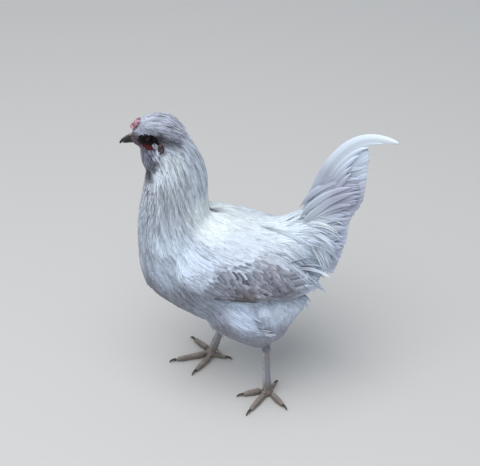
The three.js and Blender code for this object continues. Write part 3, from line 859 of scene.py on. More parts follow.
class Finish(Graph):
    def __init__(self, name, **constants):
        self.material = bpy.data.materials.new(name)
        self.material.use_nodes = True
        super().__init__(self.material.node_tree)
        self.shader = self.nodes["Principled BSDF"]
        for socket, value in constants.items():
            self.shader.inputs[socket.replace("_", " ")].default_value = value

    def set(self, socket, value):
        self.put(self.shader.inputs[socket], value)

    def stored(self, name, output):
        return self.node("ShaderNodeAttribute", {"attribute_name": name}, output=output)

    def place(self):
        return self.node("ShaderNodeTexCoord", output="Object")

    def parts(self, vector):
        split = self.nodes.new("ShaderNodeSeparateXYZ")
        self.links.new(vector.socket, split.inputs[0])
        return [Socket(self, split.outputs[i]) for i in range(3)]

    def noise(self, scale, detail):
        inputs = {"Vector": self.place(), "Scale": scale, "Detail": detail}
        return self.node("ShaderNodeTexNoise", {"noise_dimensions": "3D"}, inputs, "Fac")

    def pimples(self, scale):
        """0 in the middle of each of many small round cells, and more towards its border."""
        inputs = {"Vector": self.place(), "Scale": scale}
        return self.node("ShaderNodeTexVoronoi", {"feature": "SMOOTH_F1"}, inputs)

    def tinted(self, colour, factor):
        """A colour made lighter or darker by a number."""
        grey = self.node("ShaderNodeCombineColor", None, {0: factor, 1: factor, 2: factor})
        settings = {"data_type": "RGBA", "blend_type": "MULTIPLY", "clamp_factor": True}
        return self.node("ShaderNodeMix", settings, {0: 1.0, 6: colour, 7: grey}, 2)

    def mixed(self, factor, first, second):
        settings = {"data_type": "RGBA", "blend_type": "MIX", "clamp_factor": True}
        return self.node("ShaderNodeMix", settings, {0: factor, 6: first, 7: second}, 2)

    def bumps(self, height, strength, distance):
        inputs = {"Height": height, "Strength": strength, "Distance": distance}
        self.set("Normal", self.node("ShaderNodeBump", None, inputs))


# %% [markdown]
# ## The finish of a feather
#
# The barbs of a vane run out and forward from the shaft, a few to the millimetre, and stick
# together in fine ribs. The colour kept with each feather is darkened at the downy base, ribbed
# along the barbs, drawn darker along the shaft and paler at the rim.

# %% The plumage finish


def plumage_finish(name, base_dark, shaft, rim):
    """base_dark and shaft say how much darker those are, and rim how much paler the edge is."""
    finish = Finish(name, Roughness=0.72, Sheen_Weight=0.25, Sheen_Roughness=0.5, Specular_IOR_Level=0.25)
    across, along, length = finish.parts(finish.stored("vane", "Vector"))
    off_shaft = across.size()
    fine = finish.noise(1400.0, 2.0)
    barb = (along * length * 7.0 + off_shaft * -9.0 + fine * 3.0).wave()
    light = 1 - base_dark * (1 - along.between(0.05, 0.75))
    light = light * (1 + barb * 0.03) * (0.9 + fine * 0.2)
    light = light * (1 - shaft * (1 - off_shaft.between(0.0, 0.45)))
    light = light * (1 + rim * off_shaft.between(0.55, 1.0)) * (1 + rim * along.between(0.7, 1.0))
    finish.set("Base Color", finish.tinted(finish.stored("tint", "Color"), light))
    finish.bumps(barb * 0.12 + fine, 0.3, 0.0003)
    return finish.material


soft_feather = plumage_finish("soft_feather", base_dark=0.4, shaft=0.08, rim=0.08)
hackle_feather = plumage_finish("hackle_feather", base_dark=0.5, shaft=0.16, rim=0.12)
beard_feather = plumage_finish("beard_feather", base_dark=0.6, shaft=0.1, rim=0.25)
wing_feather = plumage_finish("wing_feather", base_dark=0.5, shaft=0.24, rim=0.28)
tail_feather = plumage_finish("tail_feather", base_dark=0.25, shaft=0.12, rim=0.06)
covert_feather = plumage_finish("covert_feather", base_dark=0.45, shaft=0.1, rim=0.2)

# %% [markdown]
# ## The skin
#
# The skin lies inside the form by the depth of the coat: a few millimetres on the head, more on
# the body. It is hardly seen, but it stops light from passing between the feathers, so it
# carries the same markings, darkened as down in shadow is.

# %% The skin under the coat


def room_under(points, normals):
    """How thick the body is straight in from each place on its surface."""
    thick = []
    for place, normal in zip(points.tolist(), normals.tolist()):
        inwards = -Vector(normal)
        away = body.tree.ray_cast(Vector(place) + inwards * 0.3, inwards)[3]
        thick.append(100.0 if away is None else away)
    return np.array(thick)


def coat_depth(points, normals):
    """How deep the feathers are: 2 mm on the head, 7 on the trunk, 3 at the hock, less where thin."""
    head = ease(points[:, 2], 385, 430)
    hock = 1 - ease(points[:, 2], 104, 135)
    return np.minimum(7.0 - 5.0 * head - 4.0 * hock * (1 - head), 0.38 * room_under(points, normals))


def skin_finish():
    finish = Finish("skin_and_down", Roughness=0.85)
    down = finish.noise(160.0, 4.0)
    finish.set("Base Color", finish.tinted(finish.stored("tint", "Color"), 0.42 + down * 0.25))
    finish.bumps(down, 0.4, 0.001)
    return finish.material


skin_points = body.points - body.normals * coat_depth(body.points, body.normals)[:, None]
skin_mesh, _ = mesh_from("skin", skin_points, np.empty((0, 4), int), body.triangles)
keep_colour(skin_mesh, "tint", colour_at(body.points)[0])
skin = dressed(object_of("skin", skin_mesh), skin_finish())

# %% [markdown]
# ## The body feathers
#
# The face round the eye is bare, and the lower part of the folded wing gets ordered rows later.
# All other places grow feathers as the plan says. The roots are scattered once, over
# everything, and then each piece of the coat takes its own.

# %% Where feathers grow
FACE = np.array([-126.0, 0.0, 443.0])
FACE_SIZE = np.array([14.5, 40.0, 9.5])
WING_EDGE = np.array([
    (-88, 236), (-70, 222), (-38, 214), (0, 210), (36, 208), (70, 208), (97, 212), (113, 217), (122, 221),
], float)
ROWS_FRONT = -40
ROWS_REAR = 130
ROWS_DEEP = 41
SPACING_SHARE = 0.9


def wing_low(x):
    """The height of the folded wing's lower edge."""
    return np.interp(x, WING_EDGE[:, 0], WING_EDGE[:, 1])


def on_face(points):
    """Below 1 on the bare face, above 1 outside it."""
    return np.linalg.norm((folded(points) - FACE) / FACE_SIZE, axis=1)


def in_rows(points):
    """Where the ordered rows of the wing lie, low down on its outer face."""
    above_edge = points[:, 2] - wing_low(points[:, 0])
    inside = (np.abs(points[:, 1]) > 40) & (above_edge > -3) & (above_edge < ROWS_DEEP)
    inside &= (points[:, 0] > ROWS_FRONT) & (points[:, 0] < ROWS_REAR)
    near = np.zeros(len(points), bool)
    chosen = points[inside]
    near[inside] = np.minimum(*[form.nearest(chosen)[2] for form in wings.values()]) < 1.6
    return near


def feathered(points):
    return ((on_face(points) > 1) & ~in_rows(points)).astype(float)


def lie_at(points):
    return plumage_at(points)[0]


def spacing_at(points):
    return SPACING_SHARE * plumage_at(points)[1][:, 3]


roots = scatter(body, spacing_at, feathered, seed=5)
_, root_form, root_piece = plumage_at(roots)
print("roots:", len(roots))

# %% [markdown]
# Neighbouring feathers differ a little at random. They also stick together in locks, so that
# pale and dark streaks run down the hackle. A streak is a ripple averaged along the feather's
# own path, which feathers that follow each other share, and those beside each other don't.
# Feathers that end in the air, well clear of the form, are plucked.

# %% Growing the coat
DEPTH_SHARE = 0.85


def lay(
    name, roots, form, lie_of, material, seed,
    steps=6, give=0.42, stand=0.0, streak=(8.0, 0.08), paints=None, stray=12.0, forward=200.0,
):
    """A piece of coat: feathers combed over the body from their roots.

    stand raises the tips, in millimetres; streak is the width and the strength of the streaks;
    paints replaces the markings with one colour for each feather. A feather is plucked if its
    tip is left further than stray from the body, or further forward of its root than forward.
    """
    dice = chance(seed)
    lengths = form[:, 0] * dice.uniform(0.8, 1.15, len(roots))
    halves = form[:, 1] * dice.uniform(0.8, 1.15, len(roots))
    paths, ups = combed(body, roots, lie_of, lengths, steps, 0.05 + 0.08 * form[:, 4], seed, give)
    locks = ripple(paths, streak[0], seed + 100).mean(axis=1)
    locks = np.clip(locks / locks.std(), -2, 2)[:, None, None]
    share = np.linspace(0, 1, steps + 1)[None, :, None]
    depth = coat_depth(roots, ups[:, 0])[:, None, None]
    lift = (form[:, 4] * dice.uniform(-0.2, 1.0, len(roots)))[:, None, None]
    settle = (ARCH * halves + dice.uniform(0.1, 0.9, len(roots)))[:, None, None]
    rise = -DEPTH_SHARE * depth * (1 - share) ** 1.4 - settle * share + lift * share**3 + stand * share**1.5
    colour, vary = colour_at(paths[:, ::2].reshape(-1, 3))
    colour = np.repeat(colour.reshape(len(roots), -1, 3), 2, axis=1)[:, : steps + 1]
    vary = vary.reshape(len(roots), -1)[:, -1:, None]
    if paints is not None:
        colour = np.broadcast_to(paints[:, None], colour.shape)
    own = differing(dice, (len(roots), 1, 1))
    tints = within_range(colour * (1 + vary * own + streak[1] * locks))
    kept = body.nearest(paths[:, -1])[2] < stray
    kept &= paths[:, 0, 0] - paths[:, -1, 0] < forward
    paths = (paths + ups * rise)[kept]
    return grow(name, material, paths, ups[kept], halves[kept], form[kept, 2], tints[kept])


STYLES = {
    "coat_head": (soft_feather, {"streak": (3.4, 0.2)}),
    "coat_beard": (beard_feather, {"streak": (3.0, 0.2)}),
    "coat_hackle": (hackle_feather, {"streak": (7.0, 0.17), "steps": 8}),
    "coat_cape": (hackle_feather, {"streak": (8.0, 0.17), "steps": 8}),
    "coat_breast": (soft_feather, {"streak": (8.0, 0.13)}),
    "coat_belly": (soft_feather, {"streak": (8.0, 0.12)}),
    "coat_back": (soft_feather, {"streak": (9.0, 0.05)}),
    "coat_saddle": (
        hackle_feather, {"streak": (7.0, 0.09), "steps": 8, "give": 0.16, "stray": 40.0, "forward": 8.0},
    ),
    "coat_thighs": (soft_feather, {"streak": (8.0, 0.05), "give": 0.25}),
    "coat_wings": (soft_feather, {"streak": (6.0, 0.08), "give": 1.0}),
}
coats = []
for number, (name, (material, style)) in enumerate(STYLES.items()):
    own = root_piece == PIECES.index(name)
    coats.append(lay(name, roots[own], root_form[own], lie_at, material, 10 + number, **style))

# %% [markdown]
# ## Brow, cheek tufts, the fold of the flank and the fall of the saddle
#
# Some feathers stand out from the even coat. The crown's lowest ones hang over the brow and
# throw the eye into shade, and longer ones make a low crest. A curl of pale feathers springs
# from behind the eye over the earlobe. Long flank feathers lie over the front of the thigh and
# end in a clear fold, and the longest saddle feathers fall past the rear of the wing.
# Each lock is laid from a line of its own over the coat, with tips that stand a little proud.

# %% Locks laid from lines


def along_line(line, count, side, widen, dice):
    """Roots on the body, scattered along a line of (X, Z) seen from the side."""
    line = np.array(line, float)
    places = through(line, 200)[dice.integers(0, 201, count)]
    places = places + dice.normal(0, 1, places.shape) * widen
    found = []
    for x, z in places:
        hit = body.tree.ray_cast(Vector((x, side * 130.0, z)), Vector((0, -side, 0)))[0]
        found.append(hit[:] if hit is not None else (x, side * 10.0, z))
    return np.array(found)


def lock(name, line, count, widen, form, lie, material, seed, shade=None, **style):
    """Both sides of a lock of feathers that all lie much the same way.

    widen scatters the roots about the line, and form is the feathers' length, half-width, how
    pointed they are and how loose they stand.
    """
    dice = chance(seed)
    roots = np.concatenate([along_line(line, count, side, widen, dice) for side in SIDES.values()])

    def lie_of(points):
        outwards = np.sign(points[:, 1:2])
        same = np.ones_like(outwards)
        return np.array(lie) * np.concatenate([same, outwards, same], axis=1)

    length, half, point, loose = form
    forms = np.broadcast_to(np.array((length, half, point, 0, loose), float), (len(roots), 5))
    paints = None if shade is None else np.broadcast_to(paint(*shade), (len(roots), 3))
    return lay(name, roots, forms, lie_of, material, seed, paints=paints, stray=100.0, **style)


BROW_LINE = [(-143, 462), (-136, 463), (-128, 462.5), (-118, 460), (-108, 457), (-98, 453.5), (-92, 452)]
FRINGE_LINE = [(-138, 459), (-130, 460), (-122, 459.5), (-112, 457)]
TUFT_LINE = [(-121, 440), (-116, 440.5), (-110.5, 439)]
SLASH_LINE = [(-116, 437), (-114, 433)]
CREST_LINE = [(-116, 474), (-106, 473), (-97, 469), (-89, 463)]
FLANK_LINE = [(-42, 206), (-30, 196), (-18, 184), (-6, 172)]
FLANK_TIP_LINE = [(12, 156), (20, 150), (26, 146)]
FALL_LINE = [(30, 292), (50, 286), (70, 282), (92, 280)]
FALL_LOW_LINE = [(54, 282), (70, 278), (88, 272)]
FALL_REAR_LINE = [(96, 292), (106, 284), (112, 274)]
POINT_LINE = [(88, 304), (92, 312)]
coats += [
    lock(
        "coat_brow", BROW_LINE, 190, (1.0, 1.2), (13, 1.25, 0.7, 0.5), (0.93, 0.12, -0.34),
        soft_feather, 81, stand=2.6, streak=(4.0, 0.14),
    ),
    lock(
        "coat_brow_fringe", FRINGE_LINE, 46, (1.0, 1.0), (10, 0.9, 0.85, 0.9), (0.8, 0.14, -0.52),
        soft_feather, 89, stand=2.6, streak=(3.0, 0.2),
    ),
    lock(
        "coat_crest", CREST_LINE, 70, (3.0, 1.2), (23, 1.2, 0.9, 0.8), (0.97, 0.08, -0.16),
        soft_feather, 79, stand=2.4, give=0.12, streak=(3.0, 0.25),
    ),
    lock(
        "coat_tufts", TUFT_LINE, 90, (1.3, 1.4), (7.5, 0.6, 0.9, 1.2), (0.7, 0.3, -0.6),
        beard_feather, 82, shade=(154, 156, 171), stand=3.0, streak=(2.5, 0.45),
    ),
    lock(
        "coat_tuft_slashes", SLASH_LINE, 16, (0.6, 1.0), (10, 0.7, 0.9, 1.0), (0.55, 0.3, -0.78),
        beard_feather, 80, shade=(178, 181, 196), stand=3.4, streak=(2.5, 0.35),
    ),
    lock(
        "coat_flank_folds", FLANK_LINE, 80, (3.0, 3.0), (58, 3.3, 0.6, 0.5), (0.86, 0.0, -0.5),
        soft_feather, 83, stand=4.5, steps=8, streak=(7.0, 0.1),
    ),
    lock(
        "coat_flank_tips", FLANK_TIP_LINE, 12, (2.0, 2.0), (27, 2.2, 0.9, 0.5), (1.0, 0.0, 0.0),
        soft_feather, 84, shade=(236, 242, 252), stand=5.0,
    ),
    lock(
        "coat_saddle_fall", FALL_LINE, 90, (6.0, 4.0), (84, 1.9, 1.0, 0.8), (0.7, 0.08, -0.72),
        hackle_feather, 85, stand=3.0, steps=10, give=0.2, streak=(5.0, 0.14),
    ),
    lock(
        "coat_saddle_low", FALL_LOW_LINE, 60, (5.0, 5.0), (78, 1.8, 1.0, 0.8), (0.52, 0.05, -0.86),
        hackle_feather, 87, shade=(206, 216, 232), stand=4.0, steps=10, give=0.3, streak=(4.0, 0.22),
    ),
    lock(
        "coat_saddle_rear", FALL_REAR_LINE, 50, (3.0, 4.0), (62, 1.9, 1.0, 0.9), (0.66, 0.12, -0.72),
        hackle_feather, 88, shade=(222, 232, 244), stand=3.0, steps=8, give=0.1, streak=(4.0, 0.18),
    ),
    lock(
        "coat_saddle_points", POINT_LINE, 12, (4.0, 3.0), (60, 2.4, 0.95, 0.6), (0.94, 0.15, 0.4),
        hackle_feather, 86, shade=(232, 240, 248), stand=5.0, steps=8, give=0.1,
    ),
]

# %% [markdown]
# ## Feathers that stand clear of the body
#
# The tail is a fan of stiff upright vanes, and the feathers over its sides curl over and
# droop. They aren't combed over a surface: each one follows a curve of its own, given by where
# it starts, the way it heads, how long it is and how far it turns by its tip.
# Starts are measured along the tail's axis, which rises at 57 degrees, and across it.
# A row of numbers describes one feather: its start along and across, heading, length, turn and
# half-width, how far out it starts and ends, how late it turns, its lean, and its tip.

# %% Curves of the tail
TAIL_BASE = np.array([80.0, 0.0, 262.0])
TAIL_RISE = 57.0
FRONT_X = 76.0


def heading_to(degrees):
    """A way ahead in the upright plane, so many degrees above level."""
    turn = np.radians(degrees)
    return np.stack([np.cos(turn), np.zeros_like(turn), np.sin(turn)], axis=-1)


ALONG = heading_to(np.array(TAIL_RISE))
ACROSS = heading_to(np.array(TAIL_RISE + 90))
LENGTH, HALF, LATE, LEAN, POINT = 3, 5, 8, 9, 10


def sweep(rows, side, steps):
    """The curves of the feathers in the rows, as (feathers, places, 3)."""
    columns = np.array(rows, float).T[:, :, None]
    along, across, heading, length, turn, _, out_from, out_to, late, _, _ = columns
    share = np.linspace(0, 1, steps + 1)
    middles = (share[1:] + share[:-1]) / 2
    ways = heading_to(heading + turn * middles**late)
    moves = np.cumsum(ways * (length / steps)[..., None], axis=1)
    start = TAIL_BASE + along * ALONG + across * ACROSS
    paths = start[:, None] + np.concatenate([np.zeros((len(start), 1, 3)), moves], axis=1)
    paths[:, :, 1] = side * (out_from + (out_to - out_from) * share**1.3)
    return paths


def facing(paths, side, lean):
    """Normals for vanes that stand upright and face outwards, leaning up by so much."""
    ahead = unit(np.gradient(paths, axis=1))
    out = np.broadcast_to(np.array([0.0, side, 0.0]), ahead.shape)
    above = unit(np.cross(np.cross(ahead, (0, 0, 1)), ahead) + 1e-6)
    return unit(out * np.cos(lean) + above * np.sin(lean))


print("the tail's axis:", ALONG.round(3))

# %% [markdown]
# The tail has a table of markings of its own: nearly white along the sickles, and dusky in its
# middle, partly the mauve-grey of its coverts and partly painted shade between them.

# %% The tail's markings
TAIL_MARKS = {
    "sickles": (118, 20, 432, 36, 236, 246, 252),
    "sickle_tip": (200, 5, 440, 36, 240, 249, 253),
    "top_rear": (168, 5, 404, 24, 196, 210, 232),
    "middle": (132, 15, 358, 20, 158, 158, 180),
    "middle_front": (111, 15, 360, 12, 202, 212, 232),
    "middle_rear": (160, 15, 352, 18, 178, 182, 202),
    "base_front": (92, 20, 330, 20, 216, 228, 240),
    "shadow": (140, 20, 332, 14, 146, 150, 168),
    "low": (128, 15, 305, 20, 208, 219, 236),
    "low_rear": (150, 10, 292, 18, 186, 192, 212),
}
TAIL_SHADES = np.array(list(TAIL_MARKS.values()), float)
TAIL_SHADES[:, 4:7] = [paint(*row) for row in TAIL_SHADES[:, 4:7]]


def tail_colour(paths):
    shares = nearness(paths.reshape(-1, 3), TAIL_SHADES[:, :3], TAIL_SHADES[:, 3])
    return (shares @ TAIL_SHADES[:, 4:7]).reshape(paths.shape)


def tail_piece(name, rows, side, material, seed, steps=12, arch=0.12):
    dice = chance(seed)
    rows = np.array(rows, float)
    paths = sweep(rows, side, steps)
    lean = np.radians(rows[:, LEAN] * (1 if side == LEFT else -0.5))
    ups = facing(paths, side, lean[:, None, None])
    shade = 1 + 0.10 * differing(dice, (len(rows), 1, 1))
    tints = within_range(tail_colour(paths) * shade)
    halves, points = rows[:, HALF], rows[:, POINT]
    return grow(name, material, paths, ups, halves, points, tints, arch, columns=5, bunch=1.7)


print("tail markings:", len(TAIL_SHADES))

# %% [markdown]
# ## The fan and the sickles
#
# The main tail feathers are stiff and broad, and lie one over the other like a hand of cards.
# Eight of them are described here and the rest lie evenly between. Each is shortened until its
# tip meets the tail's rear edge, which is a line of its own. The two great sickles arch over
# the fan, with shorter ones below them, all drawn along one line.

# %% The fan and its edge
RECTRICES = np.array([
    (38, 14, 66, 170, -30, 13, 6, 5),
    (32, 9, 60, 158, -26, 13, 6.6, 8),
    (26, 3, 56, 142, -26, 13, 7.2, 11),
    (20, -4, 52, 122, -30, 12.5, 7.8, 13),
    (14, -10, 46, 98, -36, 12, 8.4, 15),
    (8, -16, 38, 84, -44, 11.5, 9, 17),
    (0, -24, 14, 68, -40, 10.5, 9.6, 20),
    (-6, -28, -16, 64, -36, 9, 10.2, 22),
], float)
FAN_LATE, FAN_LEAN, FAN_POINT = 1.35, 8, 0.0
SICKLE_LINE = np.array([
    (88, 285), (95, 311), (102, 329.5), (109, 348), (119, 374.5), (131.5, 401), (146, 420.5), (160, 432.5),
    (177, 438.5), (195.5, 438), (210, 434.5), (219, 432),
], float)
REAR_EDGE = np.array([
    (-45, -77), (-21, -74), (-4, -70), (20, -66), (38, -61), (49, -58), (70, -46), (82, -41), (99, -38),
    (115, -39), (134, -33), (156, -21), (171, -11), (189, -1), (205, 9), (220, 16),
], float)


def within_edge(row, margin):
    """The row with its feather shortened until the tip lies inside the tail's rear edge.

    The trial curve turns a little more evenly than most of the feathers do.
    """
    for _ in range(40):
        trial = [*row]
        trial[LATE] = 1.1
        tip = sweep([trial], 1, 10)[0, -1] - TAIL_BASE
        along, across = tip @ ALONG, tip @ ACROSS
        if across > np.interp(along, REAR_EDGE[:, 0], REAR_EDGE[:, 1]) + margin:
            break
        row[LENGTH] *= 0.96
    return row


def fan_rows(count):
    """The main tail feathers, evenly between those of the table, each ending at the rear edge."""
    numbers = np.arange(len(RECTRICES))
    rows = []
    for place in np.linspace(0, len(RECTRICES) - 1, count):
        row = [np.interp(place, numbers, column) for column in RECTRICES.T]
        rows.append(within_edge([*row, FAN_LATE, FAN_LEAN, FAN_POINT], 0.0))
    return rows


# %% The sickles
SICKLE_GAP = 5.5
SICKLE_HALVES = np.array([10.5, 6.0, 5.5, 5.5, 5.0, 5.0])
SICKLES = {
    LEFT: {
        "shares": [1.0, 0.9, 0.8, 0.71, 0.63, 0.56],
        "outs": [(4, 5.5), (5.5, 7), (7, 8.5), (8.2, 9.7), (9.4, 11), (10.4, 12)],
        "sink": -2.0,
    },
    RIGHT: {
        "shares": [0.92, 0.84, 0.75, 0.67, 0.6, 0.53],
        "outs": [(2, 3), (3, 4), (4, 5), (5, 6), (6, 7), (7, 8)],
        "sink": 4.0,
    },
}


def sickle_paths(side, shares, outs, sink):
    """Curves side by side along the line, sink millimetres below it.

    shares are of the line's length, and outs are distances from the midline at root and tip.
    """
    steps = 26
    paths = []
    for number, (share, (out_from, out_to)) in enumerate(zip(shares, outs)):
        line = through(SICKLE_LINE, 200)[: int(200 * share) + 1]
        line = through(line[::10], steps)
        below = unit(np.gradient(line, axis=0))[:, ::-1] * (1, -1)
        line = line + below * (number * SICKLE_GAP * np.linspace(0.3, 1, steps + 1)[:, None] + sink)
        swing = out_from + (out_to - out_from) * np.linspace(0, 1, steps + 1)
        paths.append(np.stack([line[:, 0], side * swing, line[:, 1]], axis=1))
    return np.array(paths)


def sickle_piece(name, side, seed):
    dice = chance(seed)
    paths = sickle_paths(side, **SICKLES[side])
    ups = facing(paths, side, np.radians(14 if side == LEFT else -8))
    shade = 1 + 0.05 * dice.normal(0, 1, (len(paths), 1, 1))
    tints = within_range(tail_colour(paths) * shade)
    points = np.full(len(paths), 0.1)
    return grow(
        name, tail_feather, paths, ups, SICKLE_HALVES, points, tints, arch=0.22, columns=7, bunch=1.4
    )


# %% [markdown]
# ## The tail's coverts
#
# Eight layers of curved feathers lie over each side of the tail, those nearest the body
# outermost. Their starts, lengths and turns follow from the place in the layer, with a little
# chance. Nine long narrow feathers lie along the sickles.

# %% Coverts and lesser sickles
COVERT_LAYERS = 8


def front_limit(along, side):
    """How far across the axis a root may lie before it shows in front of the tail."""
    back = 0 if side == LEFT else 20
    return (FRONT_X - TAIL_BASE[0] + ALONG[0] * along) / -ACROSS[0] - back


def covert_rows(seed, side):
    dice = chance(seed)
    rows = []
    for layer in range(COVERT_LAYERS):
        share = layer / (COVERT_LAYERS - 1)
        along = 84 - 96 * share
        count = int(9 + 5 * share)
        for i in range(count):
            place = (i + 0.5) / count + dice.uniform(-0.03, 0.03)
            start = along - 6 * place
            across = min(34 - 68 * place + dice.uniform(-2, 2), front_limit(start, side))
            front = 1 - place
            heading = 14 + 52 * front**0.8 + dice.normal(0, 4)
            length = (66 + 44 * front) * dice.uniform(0.85, 1.15)
            turn = -(62 + 34 * place) * dice.uniform(0.8, 1.2)
            out = (10 + 13 * share) * math.sqrt(max(0.1, 1 - ((across + 1) / 44) ** 2))
            tip = out * 0.9 + dice.uniform(0, 3)
            half = dice.uniform(3.4, 5.6)
            lean = dice.uniform(5, 20) + 15 * front
            row = [start, across, heading, length, turn, half, out, tip, 1.1, lean, 0.35]
            rows.append(within_edge(row, dice.uniform(2, 20)))
    return rows


def lesser_sickle_rows(seed):
    """Long narrow feathers lying along the sickles, inside the tail's rear edge."""
    dice = chance(seed)
    rows = []
    for i in range(9):
        share = i / 8
        row = [
            24 - 6 * share, 8 - 12 * share, 70 - 10 * share, 176 - 66 * share, -64 + 16 * share,
            6.0, 9 + 3 * share, 12 + 4 * share, 1.7, 14, 0.3,
        ]
        rows.append(within_edge(row, dice.uniform(-2, 6)))
    return rows


# %% Making the tail
tails = []
for name, side in SIDES.items():
    lesser = lesser_sickle_rows(51 + side)
    coverts = covert_rows(61 + side, side)
    tails += [
        tail_piece("tail_vanes_" + name, fan_rows(28), side, tail_feather, 31 + side),
        sickle_piece("sickle_vanes_" + name, side, 41),
        tail_piece("tail_lesser_sickles_" + name, lesser, side, tail_feather, 52, steps=16, arch=0.25),
        tail_piece("tail_coverts_" + name, coverts, side, covert_feather, 62, steps=10, arch=0.2),
    ]

# %% [markdown]
# ## The rows of the folded wing
#
# Low on the folded wing the feathers lie in order: long flight feathers along the lower edge,
# the topmost outermost, and over them six rows of coverts, shorter the higher they lie. The
# rows are drawn flat, as seen from the side, and pushed in until they meet the wing.

# %% Onto the wing


def onto_wing(form, side, flat):
    """Points given by X and Z, pushed in from the side until they meet the wing."""
    places, normals = [], []
    for x, _, z in flat.reshape(-1, 3):
        start = Vector((x, side * 160.0, z))
        hit, normal, _, _ = form.tree.ray_cast(start, Vector((0, -side, 0)))
        if hit is None:
            hit, normal, _, _ = form.tree.find_nearest(Vector((x, side * 75.0, z)))
            hit = Vector((x, hit[1], z))
        places.append(hit[:])
        out = np.array(normal)
        normals.append(out if out[1] * side > 0 else -out)
    normals = unit(np.array(normals) * (1, 1, 0.7) + (0, 0.5 * side, 0))
    return np.array(places).reshape(flat.shape), normals.reshape(flat.shape)


# %% Wing rows
FLIGHT_FEATHERS = 15
FLIGHT_HALF = 6.2
EDGE_GAP = 6.5
ROUND_TIP = 0.25
# Rows of coverts from the lower edge upwards: how many, how far up, how long and how wide.
COVERT_ROWS = [
    (28, 10, 31, 4.0),
    (28, 16.5, 26, 3.8),
    (28, 23, 22, 3.7),
    (26, 29.5, 20, 3.6),
    (24, 36, 19, 3.5),
    (22, 42.5, 18, 3.4),
]


def wing_rows(dice):
    """Feathers as (X along the path, Z along the path, half-width, lift)."""
    share = np.linspace(0, 1, 11)
    made = []
    for i in range(FLIGHT_FEATHERS):
        up = i / (FLIGHT_FEATHERS - 1)
        start, end = -50 + 72 * up, 119 - 17 * up
        x = start + (end - start) * share
        low = wing_low(x) + EDGE_GAP
        arc = low + 36 * up * (1 - share) + 20 * up * share + 34 * up * share * (1 - share)
        made.append((x, low * (1 - up) + arc * up, FLIGHT_HALF, -0.6 + 0.12 * i))
    for row, (count, lift_up, length, half) in enumerate(COVERT_ROWS):
        for i in range(count):
            tip_x = -28 + 2 * row + (124 - 8 * row) * i / (count - 1) + dice.uniform(-2, 2)
            tip_z = wing_low(tip_x) + lift_up * (1 - 0.35 * ease(tip_x, 60, 115)) + dice.uniform(-1.8, 1.8)
            angle = math.radians(28 + 3 * row - 8 * i / count + dice.uniform(-6, 6))
            size = length * dice.uniform(0.85, 1.15)
            x = tip_x - size * math.cos(angle) * (1 - share)
            z = tip_z + size * math.sin(angle) * (1 - share) ** 0.9
            made.append((x, z, half, 1.0 + 0.25 * row))
    return made


def wing_piece(name, side):
    dice = chance(71 + side)
    rows = wing_rows(dice)
    flat = np.array([np.stack([x, 0 * x, z], axis=-1) for x, z, *_ in rows])
    paths, ups = onto_wing(wings[name], side, flat)
    share = np.linspace(0, 1, flat.shape[1])[None, :, None]
    halves = np.array([row[2] for row in rows])
    lift = np.array([row[3] for row in rows])[:, None, None]
    jitter = dice.uniform(-0.4, 0.4, (len(rows), 1, 1))
    paths = paths + ups * (-3.2 * (1 - share) ** 1.5 + (lift + jitter - 1.2) * share**0.5)
    colour, vary = colour_at(paths.reshape(-1, 3))
    own = vary.reshape(len(rows), -1)[:, -1:, None] * differing(dice, (len(rows), 1, 1))
    tints = colour.reshape(paths.shape) * (0.94 + own)
    points = np.full(len(rows), ROUND_TIP)
    return grow(
        "wing_rows_" + name, wing_feather, paths, ups, halves, points, tints, arch=0.16, columns=5
    )


wing_pieces = [wing_piece(name, side) for name, side in SIDES.items()]

# %% [markdown]
# ## Closed skins over rings
#
# The beak, the bare face, the eyes and the claws are all skins drawn over a row of rings, with
# a pole at each end. One helper makes them, so that every one is closed and smooth.

# %% A skin over rings


def skin_over(name, first, rings, last, marks=None):
    """A closed mesh from a pole, rings of equal size (rings, sides, 3) and another pole."""
    count, sides = rings.shape[:2]
    verts = np.concatenate([[first], rings.reshape(-1, 3), [last]])
    i = np.arange(sides)
    j = (i + 1) % sides
    ring = 1 + sides * np.arange(count - 1)[:, None]
    quads = np.stack([ring + i, ring + j, ring + sides + j, ring + sides + i], axis=-1).reshape(-1, 4)
    foot = 1 + sides * (count - 1)
    ends = np.concatenate(
        [
            np.stack([0 * i, 1 + j, 1 + i], axis=-1),
            np.stack([0 * i + len(verts) - 1, foot + i, foot + j], axis=-1),
        ]
    )
    a, b, c = verts[quads[:, 0]], verts[quads[:, 1]], verts[quads[:, 2]]
    if np.sum(np.cross(b - a, c - a) * (a - verts.mean(axis=0))) < 0:
        quads, ends = quads[:, ::-1], ends[:, ::-1]
    mesh, _ = mesh_from(name, verts, quads, ends)
    if marks is not None:
        keep_vector(mesh, "mark", marks)
    return object_of(name, mesh)


def marks_of(first, values, last):
    """Marks for the points of skin_over: a pole, (rings, sides, 3) and the other pole."""
    return np.concatenate([[first], values.reshape(-1, 3), [last]])


# %% [markdown]
# ## The eyes
#
# The ball turns a little forward. Its finish has to know the iris, so every point keeps its
# angle from the axis of sight: black pupil, a red-brown iris with a darker rim, and the dark
# ball behind, which the lids cover.

# %% Eyes
EYE = EYE_PLAN + (0.0, 10.2, 0.0)
EYE_RADIUS = 5.4


def eye_finish():
    gloss = {"Roughness": 0.05, "Coat_Weight": 0.1, "Coat_Roughness": 0.02}
    finish = Finish("eye_gloss", IOR=1.36, Specular_IOR_Level=0.3, **gloss)
    angle, _, _ = finish.parts(finish.stored("mark", "Vector"))
    flecks = finish.noise(2200.0, 2.0)
    iris = finish.mixed(flecks.between(0.35, 0.65), (0.014, 0.005, 0.004, 1), (0.036, 0.010, 0.006, 1))
    dark_rim = finish.mixed(angle.between(0.62, 0.74), iris, (0.012, 0.006, 0.006, 1))
    finish.set("Base Color", finish.mixed(angle.between(0.28, 0.33), (0.003, 0.003, 0.004, 1), dark_rim))
    return finish.material


eye_gloss = eye_finish()


